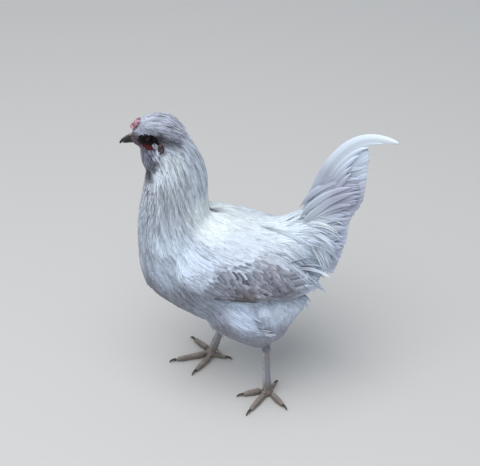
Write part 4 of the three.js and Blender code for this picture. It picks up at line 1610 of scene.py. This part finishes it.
def make_eye(name, side):
    axis = unit(np.array([-0.22, side * 1.0, 0.03]))
    across = unit(np.cross(axis, (0, 0, 1)))
    rise = np.cross(across, axis)
    turns = np.linspace(0, 2 * np.pi, 40, endpoint=False)[None, :, None]
    angles = np.concatenate([np.linspace(0.06, 1.0, 16), np.linspace(1.15, 3.0, 10)])[:, None, None]
    bulge = 1 + 0.05 * (1 - ease(angles, 0.3, 0.75))
    ring = np.sin(angles) * (np.cos(turns) * across + np.sin(turns) * rise) + np.cos(angles) * bulge * axis
    centre = EYE * (1, side, 1)
    shape = np.array([1.0, 0.9, 1.0]) * EYE_RADIUS
    rings = centre + ring * shape
    values = np.zeros(rings.shape)
    values[..., 0] = angles[..., 0]
    marks = marks_of((0, 0, 0), values, (math.pi, 0, 0))
    eye = skin_over("eyeball_" + name, centre + axis * 1.05 * shape, rings, centre - axis * shape, marks)
    return dressed(eye, eye_gloss)


eyes = {name: make_eye(name, side) for name, side in SIDES.items()}

# %% [markdown]
# ## The bare face
#
# Round the eye the skin is bare and dark red; from the eye upwards it is painted near black, as the
# shadow of the overhanging brow. Its mesh runs in rings from the edge of the lids, which wrap the
# ball, over a raised rim and a furrow, and out to a border that dives under the feathers. A texture
# could draw the lids, but not their thickness over the wet ball.

# %% The finish of the face
# The heights between which the face turns from dark red below to near black above, as painted shadow of the
# brow.
FACE_SHADOW_HEIGHTS = to_model([0, 0, 437.0])[2], to_model([0, 0, 445.0])[2]


def face_finish():
    soft = {"Subsurface_Weight": 0.1, "Subsurface_Scale": 0.002}
    finish = Finish("red_skin", Roughness=0.6, Specular_IOR_Level=0.15, **soft)
    folds = finish.noise(420.0, 4.0)
    pimples = finish.pimples(1100.0)
    near_eye, _, _ = finish.parts(finish.stored("mark", "Vector"))
    _, _, height = finish.parts(finish.place())
    red = finish.mixed(folds.between(0.35, 0.65), pigment(36, 8, 13), pigment(84, 26, 32))
    # Near black above the eye: painted shadow of the brow over the red skin.
    black = finish.mixed(folds.between(0.35, 0.65), pigment(5, 4, 5), pigment(14, 8, 10))
    red_under_shadow = finish.mixed((height + folds * 0.006).between(FACE_SHADOW_HEIGHTS[0], FACE_SHADOW_HEIGHTS[1]), red, black)
    lid = finish.mixed(near_eye.between(0.0, 0.16), pigment(26, 16, 19), red_under_shadow)
    finish.set("Base Color", lid)
    finish.bumps(pimples * -0.8 + folds, 0.5, 0.0005)
    return finish.material


red_skin = face_finish()

# %% Face and lids
FACE_BORDER = 1.16
LID_OPENING = (4.9, 3.7)
CLEAR_OF_LIDS = 7.8
CENTRE_OUT = 13.9


def side_of_head(flat, side):
    """How far out the head's form is at each X and Z."""
    out = []
    for x, z in flat.reshape(-1, 2):
        hit = body.tree.ray_cast(Vector((x, side * 90.0, z)), Vector((0, -side, 0)))[0]
        out.append(abs(hit[1]) if hit is not None else 8.0)
    return np.array(out).reshape(flat.shape[:-1])


def make_face(name, side):
    sides = 96
    turns = np.linspace(0, 2 * np.pi, sides, endpoint=False)
    round_eye = np.stack([np.cos(turns), np.sin(turns)], axis=-1)
    eye_xz = EYE[[0, 2]]
    edge = eye_xz + round_eye * LID_OPENING + np.stack([0 * turns, 0.35 * np.cos(2 * turns)], axis=-1)
    clear = eye_xz + round_eye * CLEAR_OF_LIDS
    border = FACE[[0, 2]] + round_eye * FACE_SIZE[[0, 2]] * FACE_BORDER
    clear_out = side_of_head(clear, side)

    def ball_out(flat):
        away = np.sum((flat - eye_xz) ** 2, axis=-1) / EYE_RADIUS**2
        return EYE[1] + 0.9 * EYE_RADIUS * np.sqrt(np.maximum(1 - away, 0.02))

    rings, marks = [], []

    def add_ring(flat, out, mark):
        rings.append(np.stack([flat[:, 0], out, flat[:, 1]], axis=-1))
        marks.append(mark)

    # Lids: share of the way from the lid's edge to the clear ring, height over the ball.
    for share, over in [(-0.12, -1.6), (-0.05, -0.3), (0.0, 0.35), (0.08, 0.85), (0.18, 1.05), (0.3, 1.0)]:
        flat = edge + (clear - edge) * share
        add_ring(flat, ball_out(flat) + over, share * 0.3)
    # The furrow round them, and its height over the cheek.
    for share, over in [(0.48, 0.55), (0.62, 0.1), (0.78, 0.15), (1.0, 0.1)]:
        flat = edge + (clear - edge) * share
        far = np.linalg.norm(flat - eye_xz, axis=1) / CLEAR_OF_LIDS
        add_ring(flat, CENTRE_OUT + (clear_out - CENTRE_OUT) * far + over, share * 0.3)
    for share in np.linspace(0.1, 1.0, 12):
        flat = clear + (border - clear) * share
        base = side_of_head(flat, side) - 0.4 - 2.2 * ease(share, 0.75, 1.0)
        folds = 0.35 * np.sin(9 * turns + 5 * share) * np.sin(4 * np.pi * share) * (1 - share)
        add_ring(flat, base + folds, 0.3 + 0.7 * share)
    rings = np.array(rings)
    out = rings[10:, :, 1].copy()
    for _ in range(3):
        out[1:-1] = (out[:-2] + 2 * out[1:-1] + out[2:]) / 4
        out = (np.roll(out, 1, 1) + 2 * out + np.roll(out, -1, 1)) / 4
    rings[10:, :, 1] = out
    back = rings[-1:] * (0.9, 0.45, 0.9) + np.array([FACE[0], 0, FACE[2]]) * (0.1, 0, 0.1)
    rings = np.concatenate([rings, back])
    rings[..., 1] *= side
    values = np.zeros(rings.shape)
    values[..., 0] = np.array(marks + [1.0])[:, None]
    first = np.array([eye_xz[0], side * 8.0, eye_xz[1]])
    last = np.array([FACE[0], side * 3.0, FACE[2]])
    marks = marks_of((0, 0, 0), values, (1, 0, 0))
    return dressed(skin_over("bare_face_" + name, first, rings, last, marks), red_skin)


faces = {name: make_face(name, side) for name, side in SIDES.items()}

# %% [markdown]
# ## The beak
#
# The upper bill is a curved roof with a blunt ridge and hangs over the tip of the lower one.
# Its nostril is a slit under a small flap near the forehead. The gape between the two bills
# runs back into the face, and stays a little open.

# %% The finish of the beak


def horn_finish():
    finish = Finish("beak_horn", Roughness=0.38, Specular_IOR_Level=0.45)
    along, height, _ = finish.parts(finish.stored("mark", "Vector"))
    blotch = finish.noise(170.0, 3.0)
    grain = finish.noise(1500.0, 2.0)
    # Pale horn in blotches, and paler on top towards the root of the bill: a painted highlight.
    ridge = (height * 0.6 + (1 - along) * 0.35 + blotch * 0.4).between(0.75, 1.15)
    horn_and_highlight = finish.mixed(ridge, pigment(44, 39, 38), pigment(150, 149, 142))
    finish.set("Base Color", finish.tinted(horn_and_highlight, 0.88 + grain * 0.2))
    finish.bumps(blotch * 0.4 + grain * 0.4, 0.35, 0.0004)
    return finish.material


beak_horn = horn_finish()

# %% Beak


def bill(name, line, half_width, half_height, profile, nostril=None):
    """Rings along a line. profile gives a ring's points as (across, up) from -1 to 1.

    nostril is its X and Z, how long, high and deep it is.
    """
    steps = 30
    places = through(np.array(line, float), steps)
    ahead = unit(np.gradient(places, axis=0))
    rise = np.stack([-ahead[:, 1], ahead[:, 0]], axis=1)
    rise *= np.sign(rise[:, 1:2])
    share = np.linspace(0, 1, steps + 1)[:, None]
    rings = np.zeros((steps + 1, len(profile), 3))
    rings[..., 0] = places[:, :1] + rise[:, :1] * half_height(share) * profile[None, :, 1]
    rings[..., 1] = half_width(share) * profile[None, :, 0]
    rings[..., 2] = places[:, 1:] + rise[:, 1:] * half_height(share) * profile[None, :, 1]
    if nostril is not None:
        x, z, long, high, deep = nostril
        beyond = rings[..., 0] - x
        above = rings[..., 2] - z + 0.25 * beyond
        off = (beyond / long) ** 2 + (above / high) ** 2
        pit = np.exp(-(off**2)) * deep * (profile[None, :, 1] > -0.2)
        flap = np.exp(-(((off - 1.6) / 0.7) ** 2)) * 0.25 * (rings[..., 2] > z)
        rings[..., 1] += np.sign(rings[..., 1]) * (flap - pit) * (np.abs(rings[..., 1]) > 1.5)
    values = np.zeros(rings.shape)
    values[..., 0] = share
    values[..., 1] = profile[None, :, 1]
    marks = marks_of((0, 0, 0), values[1:-1], (1, 0, 0))
    made = skin_over(name, rings[0].mean(axis=0), rings[1:-1], rings[-1].mean(axis=0), marks)
    return dressed(made, beak_horn)


def roof_profile():
    """A roofed ring: round over the ridge, a sharp lower edge, and a hollow palate."""
    over = np.linspace(-0.12, 1.12, 40) * np.pi
    top = np.stack([np.cos(over) * (1 - 0.10 * np.sin(over) ** 2), np.sin(over)], axis=1)
    palate = np.linspace(-0.88, 0.88, 12)
    hollow = np.stack([palate, -0.36 + 0.30 * (1 - palate**2)], axis=1)
    return np.concatenate([top, hollow])


def trough_profile():
    """A trough: flat on top, round below."""
    under = np.linspace(0.02, 0.98, 30) * np.pi
    below = np.stack([-np.cos(under), -np.sin(under)], axis=1)
    top = np.linspace(0.9, -0.9, 8)
    return np.concatenate([below, np.stack([top, 0.12 - 0.25 * (1 - top**2)], axis=1)])


def taper(s, power):
    """Full at the root of the bill, nothing at its tip: blunter the smaller the power."""
    return np.maximum(1 - s, 0) ** power


bill_upper = bill(
    "bill_upper",
    [(-139, 443.6), (-146, 442.8), (-152, 441.0), (-158, 438.0), (-163, 434.4), (-166, 430.8)],
    lambda s: 5.1 * taper(s, 0.5) * (1 - 0.1 * np.sin(np.pi * s)) + 0.25,
    lambda s: 6.0 * taper(s, 0.55) + 0.3,
    roof_profile(),
    nostril=(-150.0, 443.2, 2.1, 0.85, 1.1),
)
bill_lower = bill(
    "bill_lower",
    [(-139, 437.0), (-146, 436.8), (-152, 435.6), (-157, 434.0), (-161.5, 432.4)],
    lambda s: 4.3 * taper(s, 0.5) + 0.25,
    lambda s: 4.6 * taper(s, 0.6) + 0.25,
    trough_profile(),
)

# %% [markdown]
# ## Comb and earlobes
#
# A pea comb is three low rows of beads that have grown together. The CAD gives the beads; here
# they are remeshed very finely so that they melt into one another, as flesh does. The lobes
# are made the same way and then pressed flatter against the cheek, since they hang as thin flaps.

# %% Comb and earlobes
LOBE_FLATNESS = 0.6


def fleshy(name, low_colour, high_colour, roughness):
    finish = Finish(name, Roughness=roughness, Subsurface_Weight=0.15, Subsurface_Scale=0.002)
    mottle = finish.noise(260.0, 4.0)
    grain = finish.pimples(1300.0)
    finish.set("Base Color", finish.mixed(mottle.between(0.35, 0.68), low_colour, high_colour))
    finish.bumps(grain * -0.7 + mottle, 0.45, 0.0005)
    return finish.material


comb_skin = fleshy("comb_skin", pigment(140, 84, 98), pigment(196, 160, 172), 0.5)
lobe_skin = fleshy("lobe_skin", pigment(34, 20, 27), pigment(84, 58, 68), 0.6)


def melted(name, node, voxel, rounds, material):
    made = object_of(name, one_surface(name, [node], swell=0.15, voxel=voxel, rounds=rounds))
    made.data.shade_smooth()
    return dressed(made, material)


comb = melted("pea_comb", "comb", 0.5, 5, comb_skin)
lobes = {side: melted("lobe_" + side, "earlobe_" + side, 0.8, 4, lobe_skin) for side in SIDES}
for name, side in SIDES.items():
    points = to_plan(points_of(lobes[name].data))
    deepest = np.abs(points[:, 1]).min()
    points[:, 1] = side * (deepest + LOBE_FLATNESS * (np.abs(points[:, 1]) - deepest))
    move_points(lobes[name].data, to_model(points))

# %% [markdown]
# ## Shanks and toes
#
# The horn of the legs is slate grey, and browner near the ground, where it is worn and muddy.
# One finish serves for the skin and, a little paler, for the plates over it.

# %% The finish of the legs


def leg_finish(name, shank, toe, mud):
    finish = Finish(name, Roughness=0.55)
    _, _, height = finish.parts(finish.place())
    blotch = finish.noise(120.0, 4.0)
    fine = finish.noise(900.0, 3.0)
    high = (height + blotch * 0.012).between(0.016, 0.045)
    colour = finish.mixed(high, toe, shank)
    worn = finish.mixed((blotch + fine * 0.35).between(0.68, 0.84), colour, mud)
    finish.set("Base Color", finish.tinted(worn, 0.82 + fine * 0.36))
    finish.bumps(fine + blotch * 0.5, 0.45, 0.0005)
    return finish.material


leg_skin = leg_finish("leg_skin", pigment(138, 140, 150), pigment(116, 107, 102), pigment(134, 124, 112))
scute_horn = leg_finish("scute_horn", pigment(172, 174, 184), pigment(142, 131, 124), pigment(156, 148, 136))

# %% [markdown]
# Each foot is one skin: shank, pad and four toes are remeshed together, so that the toes grow
# out of the pad without a seam. Nothing of it goes below the ground.

# %% Feet as one skin
TOES = ["1", "2", "3", "4"]


def make_foot(name):
    nodes = ["shank_" + name] + ["toe_" + name + "_" + toe for toe in TOES]
    mesh = one_surface("foot_" + name, nodes, swell=0.35, voxel=0.9, rounds=4)
    made = object_of("foot_" + name, mesh)
    made.data.shade_smooth()
    flat = points_of(made.data)
    flat[:, 2] = np.maximum(flat[:, 2], 0.0)
    move_points(made.data, flat)
    return dressed(made, leg_skin)


feet = {name: make_foot(name) for name in SIDES}

# %% [markdown]
# Horny plates, the scutes, lie over the front of the shank and the top of each toe. They could
# be modelled one by one, but they repeat along a line, so a small geometry-nodes tree sets one
# plate at every step of a curve, lying flat and lapping over the next one like a roof tile.

# %% The plates of a leg


def scute_tree(name, material):
    """A node tree that sets plates along a curve: inputs Spacing, Long, Thick and Tilt."""
    tree = bpy.data.node_groups.new(name, "GeometryNodeTree")
    tree.interface.new_socket("Geometry", in_out="INPUT", socket_type="NodeSocketGeometry")
    for label, value in (("Spacing", 0.0032), ("Long", 0.0024), ("Thick", 0.0012), ("Tilt", 0.25)):
        socket = tree.interface.new_socket(label, in_out="INPUT", socket_type="NodeSocketFloat")
        socket.default_value = value
    tree.interface.new_socket("Geometry", in_out="OUTPUT", socket_type="NodeSocketGeometry")
    graph = Graph(tree)
    node = graph.node
    sockets = graph.nodes.new("NodeGroupInput").outputs
    given = {socket.name: Socket(graph, socket) for socket in sockets if socket.name}
    ball = node("GeometryNodeMeshUVSphere", None, {"Segments": 14, "Rings": 8, "Radius": 1.0}, "Mesh")
    plate = node("GeometryNodeSetShadeSmooth", None, {"Geometry": ball})
    curve = node("GeometryNodeMeshToCurve", None, {"Mesh": given["Geometry"]})
    steps = {"Curve": curve, "Length": given["Spacing"]}
    points = node("GeometryNodeCurveToPoints", {"mode": "LENGTH"}, steps, "Points")
    tangent = Socket(graph, points.socket.node.outputs["Tangent"])
    out = node("GeometryNodeInputNamedAttribute", {"data_type": "FLOAT_VECTOR"}, {"Name": "facing"})
    half = node("GeometryNodeInputNamedAttribute", {"data_type": "FLOAT"}, {"Name": "half"})
    size = node("ShaderNodeCombineXYZ", None, {"X": given["Long"], "Y": half, "Z": given["Thick"]})
    axes = {"primary_axis": "Z", "secondary_axis": "X"}
    turn = node("FunctionNodeAxesToRotation", axes, {"Primary Axis": out, "Secondary Axis": tangent})
    lean = node("FunctionNodeAxisAngleToRotation", None, {"Axis": (0, 1, 0), "Angle": given["Tilt"]})
    local = {"rotation_space": "LOCAL"}
    both = node("FunctionNodeRotateRotation", local, {"Rotation": turn, "Rotate By": lean})
    where = {"Points": points, "Instance": plate, "Rotation": both, "Scale": size}
    plates = node("GeometryNodeInstanceOnPoints", None, where)
    real = node("GeometryNodeRealizeInstances", None, {"Geometry": plates})
    painted = node("GeometryNodeSetMaterial", None, {"Geometry": real, "Material": material})
    graph.put(graph.nodes.new("NodeGroupOutput").inputs[0], painted)
    return tree


scutes_on = scute_tree("scutes", scute_horn)
sockets = [item for item in scutes_on.interface.items_tree if item.in_out == "INPUT"]
SCUTE_INPUTS = {item.name: item.identifier for item in sockets}
print("inputs of the plates:", ", ".join(SCUTE_INPUTS))


def plates_along(name, tracks, spacing, long, thick, tilt):
    """Plates on tracks, each a row of (points, facings, half-widths) in plan millimetres."""
    points = np.concatenate([track[0] for track in tracks])
    starts = np.cumsum([0] + [len(track[0]) for track in tracks])
    edges = [(i, i + 1) for a, b in zip(starts[:-1], starts[1:]) for i in range(a, b - 1)]
    line = bpy.data.meshes.new(name + "_line")
    line.from_pydata(to_model(points).tolist(), edges, [])
    keep_vector(line, "facing", np.concatenate([track[1] for track in tracks]))
    half = line.attributes.new("half", "FLOAT", "POINT")
    halves = np.concatenate([track[2] for track in tracks]) * MM
    half.data.foreach_set("value", halves.astype(np.float32))
    source = object_of(name + "_line", line)
    modifier = source.modifiers.new("plates", "NODES")
    modifier.node_group = scutes_on
    sizes = {"Spacing": spacing * MM, "Long": long * MM, "Thick": thick * MM, "Tilt": tilt}
    for label, value in sizes.items():
        modifier[SCUTE_INPUTS[label]] = value
    mesh = baked(source, name)
    bpy.data.objects.remove(source)
    return object_of(name, mesh)


# %% [markdown]
# The legs have a few driving sizes: where pad and hock stand on the ground plan, and for each
# toe its heading, in degrees from straight ahead, and its length. Plates, cuffs and claws all
# find their places from these. Points beside a leg's axis go to the nearest place of its skin,
# so that the rows follow the shank and the toes' knuckles.

# %% Where the plates lie
LEGS = {
    "left": {
        "pad": (42, -48),
        "hock": (39, -50),
        "toes": {"1": (-122, 25), "2": (13, 36), "3": (56, 50), "4": (127, 34)},
    },
    "right": {
        "pad": (-46, 40),
        "hock": (-12, 46),
        "toes": {"1": (162, 27), "2": (54, 44), "3": (14, 60), "4": (-49, 42)},
    },
}
HOCK_HEIGHT = 97
TOE_SPREAD = 5


def toe_heading(degrees):
    turn = math.radians(degrees)
    return np.array([-math.cos(turn), -math.sin(turn), 0.0])


def toe_start(leg, toe):
    """Where a toe leaves the foot: the inner and outer toes start beside the middle one."""
    pad = np.array([*leg["pad"], 0.0])
    if toe in ("1", "3"):
        return pad
    middle, heading = leg["toes"]["3"][0], leg["toes"][toe][0]
    return pad + TOE_SPREAD * toe_heading(middle + 90 * np.sign(heading - middle))


def foot_tracks(name):
    """Lines for the plates: two down the front of the shank, and one along each toe."""
    leg, foot = LEGS[name], Form(feet[name].data)
    pad = np.array([*leg["pad"], 8.0])
    hock = np.array([*leg["hock"], HOCK_HEIGHT - 2.0])
    tracks = []
    for lean in (-0.5, 0.5):
        share = np.linspace(0.04, 0.9, 24)[:, None]
        axis = hock + (pad - hock) * share
        out = unit(np.array([-1.0, lean * 1.3, 0.0]))
        places, normals, _ = foot.nearest(axis + out * 12)
        tracks.append((places - normals * 0.55, normals, np.full(24, 3.0)))
    for toe, (heading, length) in leg["toes"].items():
        ahead = toe_heading(heading)
        far = np.linspace(7 if toe != "1" else 5, length - 1.5, 20)[:, None]
        line = toe_start(leg, toe) + ahead * far
        places, normals, _ = foot.nearest(line + (0, 0, 14))
        thin = (0.8 if toe == "1" else 1.0) * (1 - 0.3 * far[:, 0] / length)
        tracks.append((places - normals * 0.5, normals, 3.9 * thin))
    return tracks


TILT = -0.22
scutes = {}
for name in SIDES:
    tracks = foot_tracks(name)
    scutes["shank_" + name] = plates_along(
        "scutes_shank_" + name, tracks[:2], spacing=3.4, long=2.3, thick=1.0, tilt=TILT
    )
    scutes["toes_" + name] = plates_along(
        "scutes_toes_" + name, tracks[2:], spacing=2.7, long=1.8, thick=0.9, tilt=TILT
    )
print("plates:", sum(len(piece.data.polygons) for piece in scutes.values()), "faces in all")

# %% [markdown]
# A cuff of short dark feathers closes the coat round each hock, where the horn of the shank
# begins. They stand in a ring about the leg's own axis and hang straight down over the horn.

# %% The cuffs of the hocks
CUFF_SHADE = paint(122, 125, 137)


def cuff(name, leg, count, seed):
    """Short feathers in a ring about the leg, hanging from inside the coat over the shank."""
    dice = chance(seed)
    turns = dice.uniform(0, 2 * np.pi, count)
    tops = HOCK_HEIGHT + dice.uniform(5, 15, count)
    out = np.stack([np.cos(turns), np.sin(turns), 0 * turns], axis=1)
    share = np.linspace(0, 1, 6)
    heights = tops[:, None] - dice.uniform(9, 14, count)[:, None] * share
    down = ((HOCK_HEIGHT + 10 - heights) / (HOCK_HEIGHT + 5))[..., None]
    axis = np.array(leg["hock"]) + (np.array(leg["pad"]) - np.array(leg["hock"])) * down
    radius = 4.6 + dice.uniform(1.2, 2.6, count)[:, None] * share
    paths = np.concatenate([axis + out[:, None, :2] * radius[..., None], heights[..., None]], axis=2)
    ups = np.repeat(out[:, None], 6, axis=1)
    tints = within_range(CUFF_SHADE * (1 + 0.16 * differing(dice, (count, 1))))
    halves = dice.uniform(1.1, 1.7, count)
    return grow(name, soft_feather, paths, ups, halves, np.full(count, 0.75), tints)


coats += [cuff("coat_cuff_" + name, LEGS[name], count=90, seed=91 + i) for i, name in enumerate(SIDES)]

# %% [markdown]
# ## Claws
#
# A claw grows out of the toe's end, arches over and comes down close to the ground. It is a row
# of rings that shrink along a curve, with the same ending as the other closed skins.

# %% Claws
CLAW_LINE = np.array([(-3.0, 4.0), (1.6, 4.9), (4.8, 4.1), (7.4, 2.2), (8.6, 0.6)])
CLAW_STEPS = 14


def claw_finish():
    finish = Finish("claw_horn", Roughness=0.35)
    blotch = finish.noise(300.0, 3.0)
    colour = finish.mixed(blotch.between(0.35, 0.7), pigment(46, 40, 36), pigment(88, 78, 68))
    finish.set("Base Color", colour)
    finish.bumps(blotch, 0.3, 0.0004)
    return finish.material


claw_horn = claw_finish()


def claw(name, leg, toe):
    heading, length = leg["toes"][toe]
    ahead = toe_heading(heading)
    foot = toe_start(leg, toe) + ahead * length
    line = through(CLAW_LINE, CLAW_STEPS)
    share = np.linspace(0, 1, CLAW_STEPS + 1)
    slope = unit(np.gradient(line, axis=0))
    side = np.array([-ahead[1], ahead[0], 0.0])
    turns = np.linspace(0, 2 * np.pi, 14, endpoint=False)
    rings = []
    for (far, height), (run, drop), s in zip(line, slope, share):
        rise = ahead * -drop + np.array([0, 0, run])
        half = 1.9 * (1 - s) ** 0.6 + 0.22
        deep = 2.4 * (1 - s) ** 0.6 + 0.22
        centre = foot + ahead * far + np.array([0, 0, height])
        rings.append(centre + np.outer(np.cos(turns) * half, side) + np.outer(np.sin(turns) * deep, rise))
    rings = np.array(rings)
    rings[..., 2] = np.maximum(rings[..., 2], 0.3)
    made = skin_over(name, rings[0].mean(axis=0), rings[1:-1], rings[-1].mean(axis=0))
    return dressed(made, claw_horn)


claws = {
    side_name + "_" + toe: claw("talon_" + side_name + "_" + toe, LEGS[side_name], toe)
    for side_name in SIDES
    for toe in TOES
}

# %% [markdown]
# ## Camera, light and floor
#
# The camera looks down on the bird's left side with a long lens, which keeps the sizes of near
# and far parts true. The floor is plain and pale. One broad lamp above the bird, on its left,
# stands for a window, and a pale sky fills the shade. A small lamp would be simpler, but its
# hard shadows would break the soft look of the feathers.

# %% The camera
LENS = 98.25
AIM_HEIGHT = 276
RISE = math.radians(37)
DISTANCE = 1.9

scene = bpy.context.scene
camera_data = bpy.data.cameras.new("camera")
camera_data.lens = LENS
camera = object_of("camera", camera_data)
aim = Vector(to_model([0, 0, AIM_HEIGHT]))
camera.location = aim + Vector((0, -math.cos(RISE), math.sin(RISE))) * DISTANCE
camera.rotation_euler = (math.pi / 2 - RISE, 0, 0)
scene.camera = camera
scene.view_settings.view_transform = "Standard"
print("camera at", [round(value, 3) for value in camera.location])

# %% The floor
FLOOR_REACH = 3

corners = [(-FLOOR_REACH, -FLOOR_REACH), (FLOOR_REACH, -FLOOR_REACH)]
corners += [(FLOOR_REACH, FLOOR_REACH), (-FLOOR_REACH, FLOOR_REACH)]
floor_mesh = bpy.data.meshes.new("floor")
floor_mesh.from_pydata([(x, y, 0) for x, y in corners], [], [(0, 1, 2, 3)])
floor_finish = Finish("floor", Roughness=0.9)
floor_finish.set("Base Color", (0.62, 0.61, 0.6, 1))
floor = dressed(object_of("floor", floor_mesh), floor_finish.material)

# %% The light
WINDOW_SIZE = 2.2
WINDOW_POWER = 60
WINDOW_PLACE = (-0.5, -0.8, 2.6)
WINDOW_FACING = (0.5, 0.8, -2.4)
SKY_COLOUR = (0.86, 0.93, 1.0, 1)
SKY_STRENGTH = 0.5

world = bpy.data.worlds.new("sky")
world.use_nodes = True
sky = world.node_tree.nodes["Background"]
sky.inputs["Color"].default_value = SKY_COLOUR
sky.inputs["Strength"].default_value = SKY_STRENGTH
scene.world = world
window_data = bpy.data.lights.new("window", "AREA")
window_data.size = WINDOW_SIZE
window_data.energy = WINDOW_POWER
window = object_of("window", window_data)
window.location = WINDOW_PLACE
window.rotation_euler = Vector(WINDOW_FACING).to_track_quat("-Z", "Y").to_euler()
print("window of", WINDOW_SIZE, "m at", WINDOW_PLACE)

# %% [markdown]
# ## Tying the pieces to the model
#
# Every piece rides on the one body, because the bird stands still. The solids that a piece stands
# for are hidden here but stay in the physical model.

# %% Riding
CROWN_PIECES = ("coat_head", "coat_beard", "coat_crest", "coat_brow", "coat_brow_fringe")
CROWN_PIECES += ("coat_tufts", "coat_tuft_slashes")


def take(piece, slot, *nodes):
    """Rides a piece on the body and hides the solids that it stands for; the slot is not used."""
    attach(piece, "root")
    if nodes:
        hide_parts(*nodes)


take(skin, "plumage", *FLESH)
for piece in coats:
    take(piece, "crown_plumage" if piece.name in CROWN_PIECES else "plumage")
for piece in tails:
    side_name = "left" if "left" in piece.name else "right"
    take(piece, "plumage", "sickle_" + side_name if piece.name.startswith("sickle") else "tail")
for piece in wing_pieces:
    take(piece, "wing_plumage")
for name in SIDES:
    take(eyes[name], "eye", "eye_" + name)
    take(faces[name], "red_skin")
    take(lobes[name], "red_skin", "earlobe_" + name)
    take(feet[name], "leg_scale", "shank_" + name, *["toe_" + name + "_" + toe for toe in TOES])
    take(scutes["shank_" + name], "leg_scale")
    take(scutes["toes_" + name], "leg_scale")
    for toe in TOES:
        take(claws[name + "_" + toe], "claw_horn", "claw_" + name + "_" + toe)
take(bill_upper, "beak_horn", "beak_upper")
take(bill_lower, "beak_horn", "beak_lower")
take(comb, "red_skin", "comb")
print("pieces of coat:", len(coats), "of tail:", len(tails))
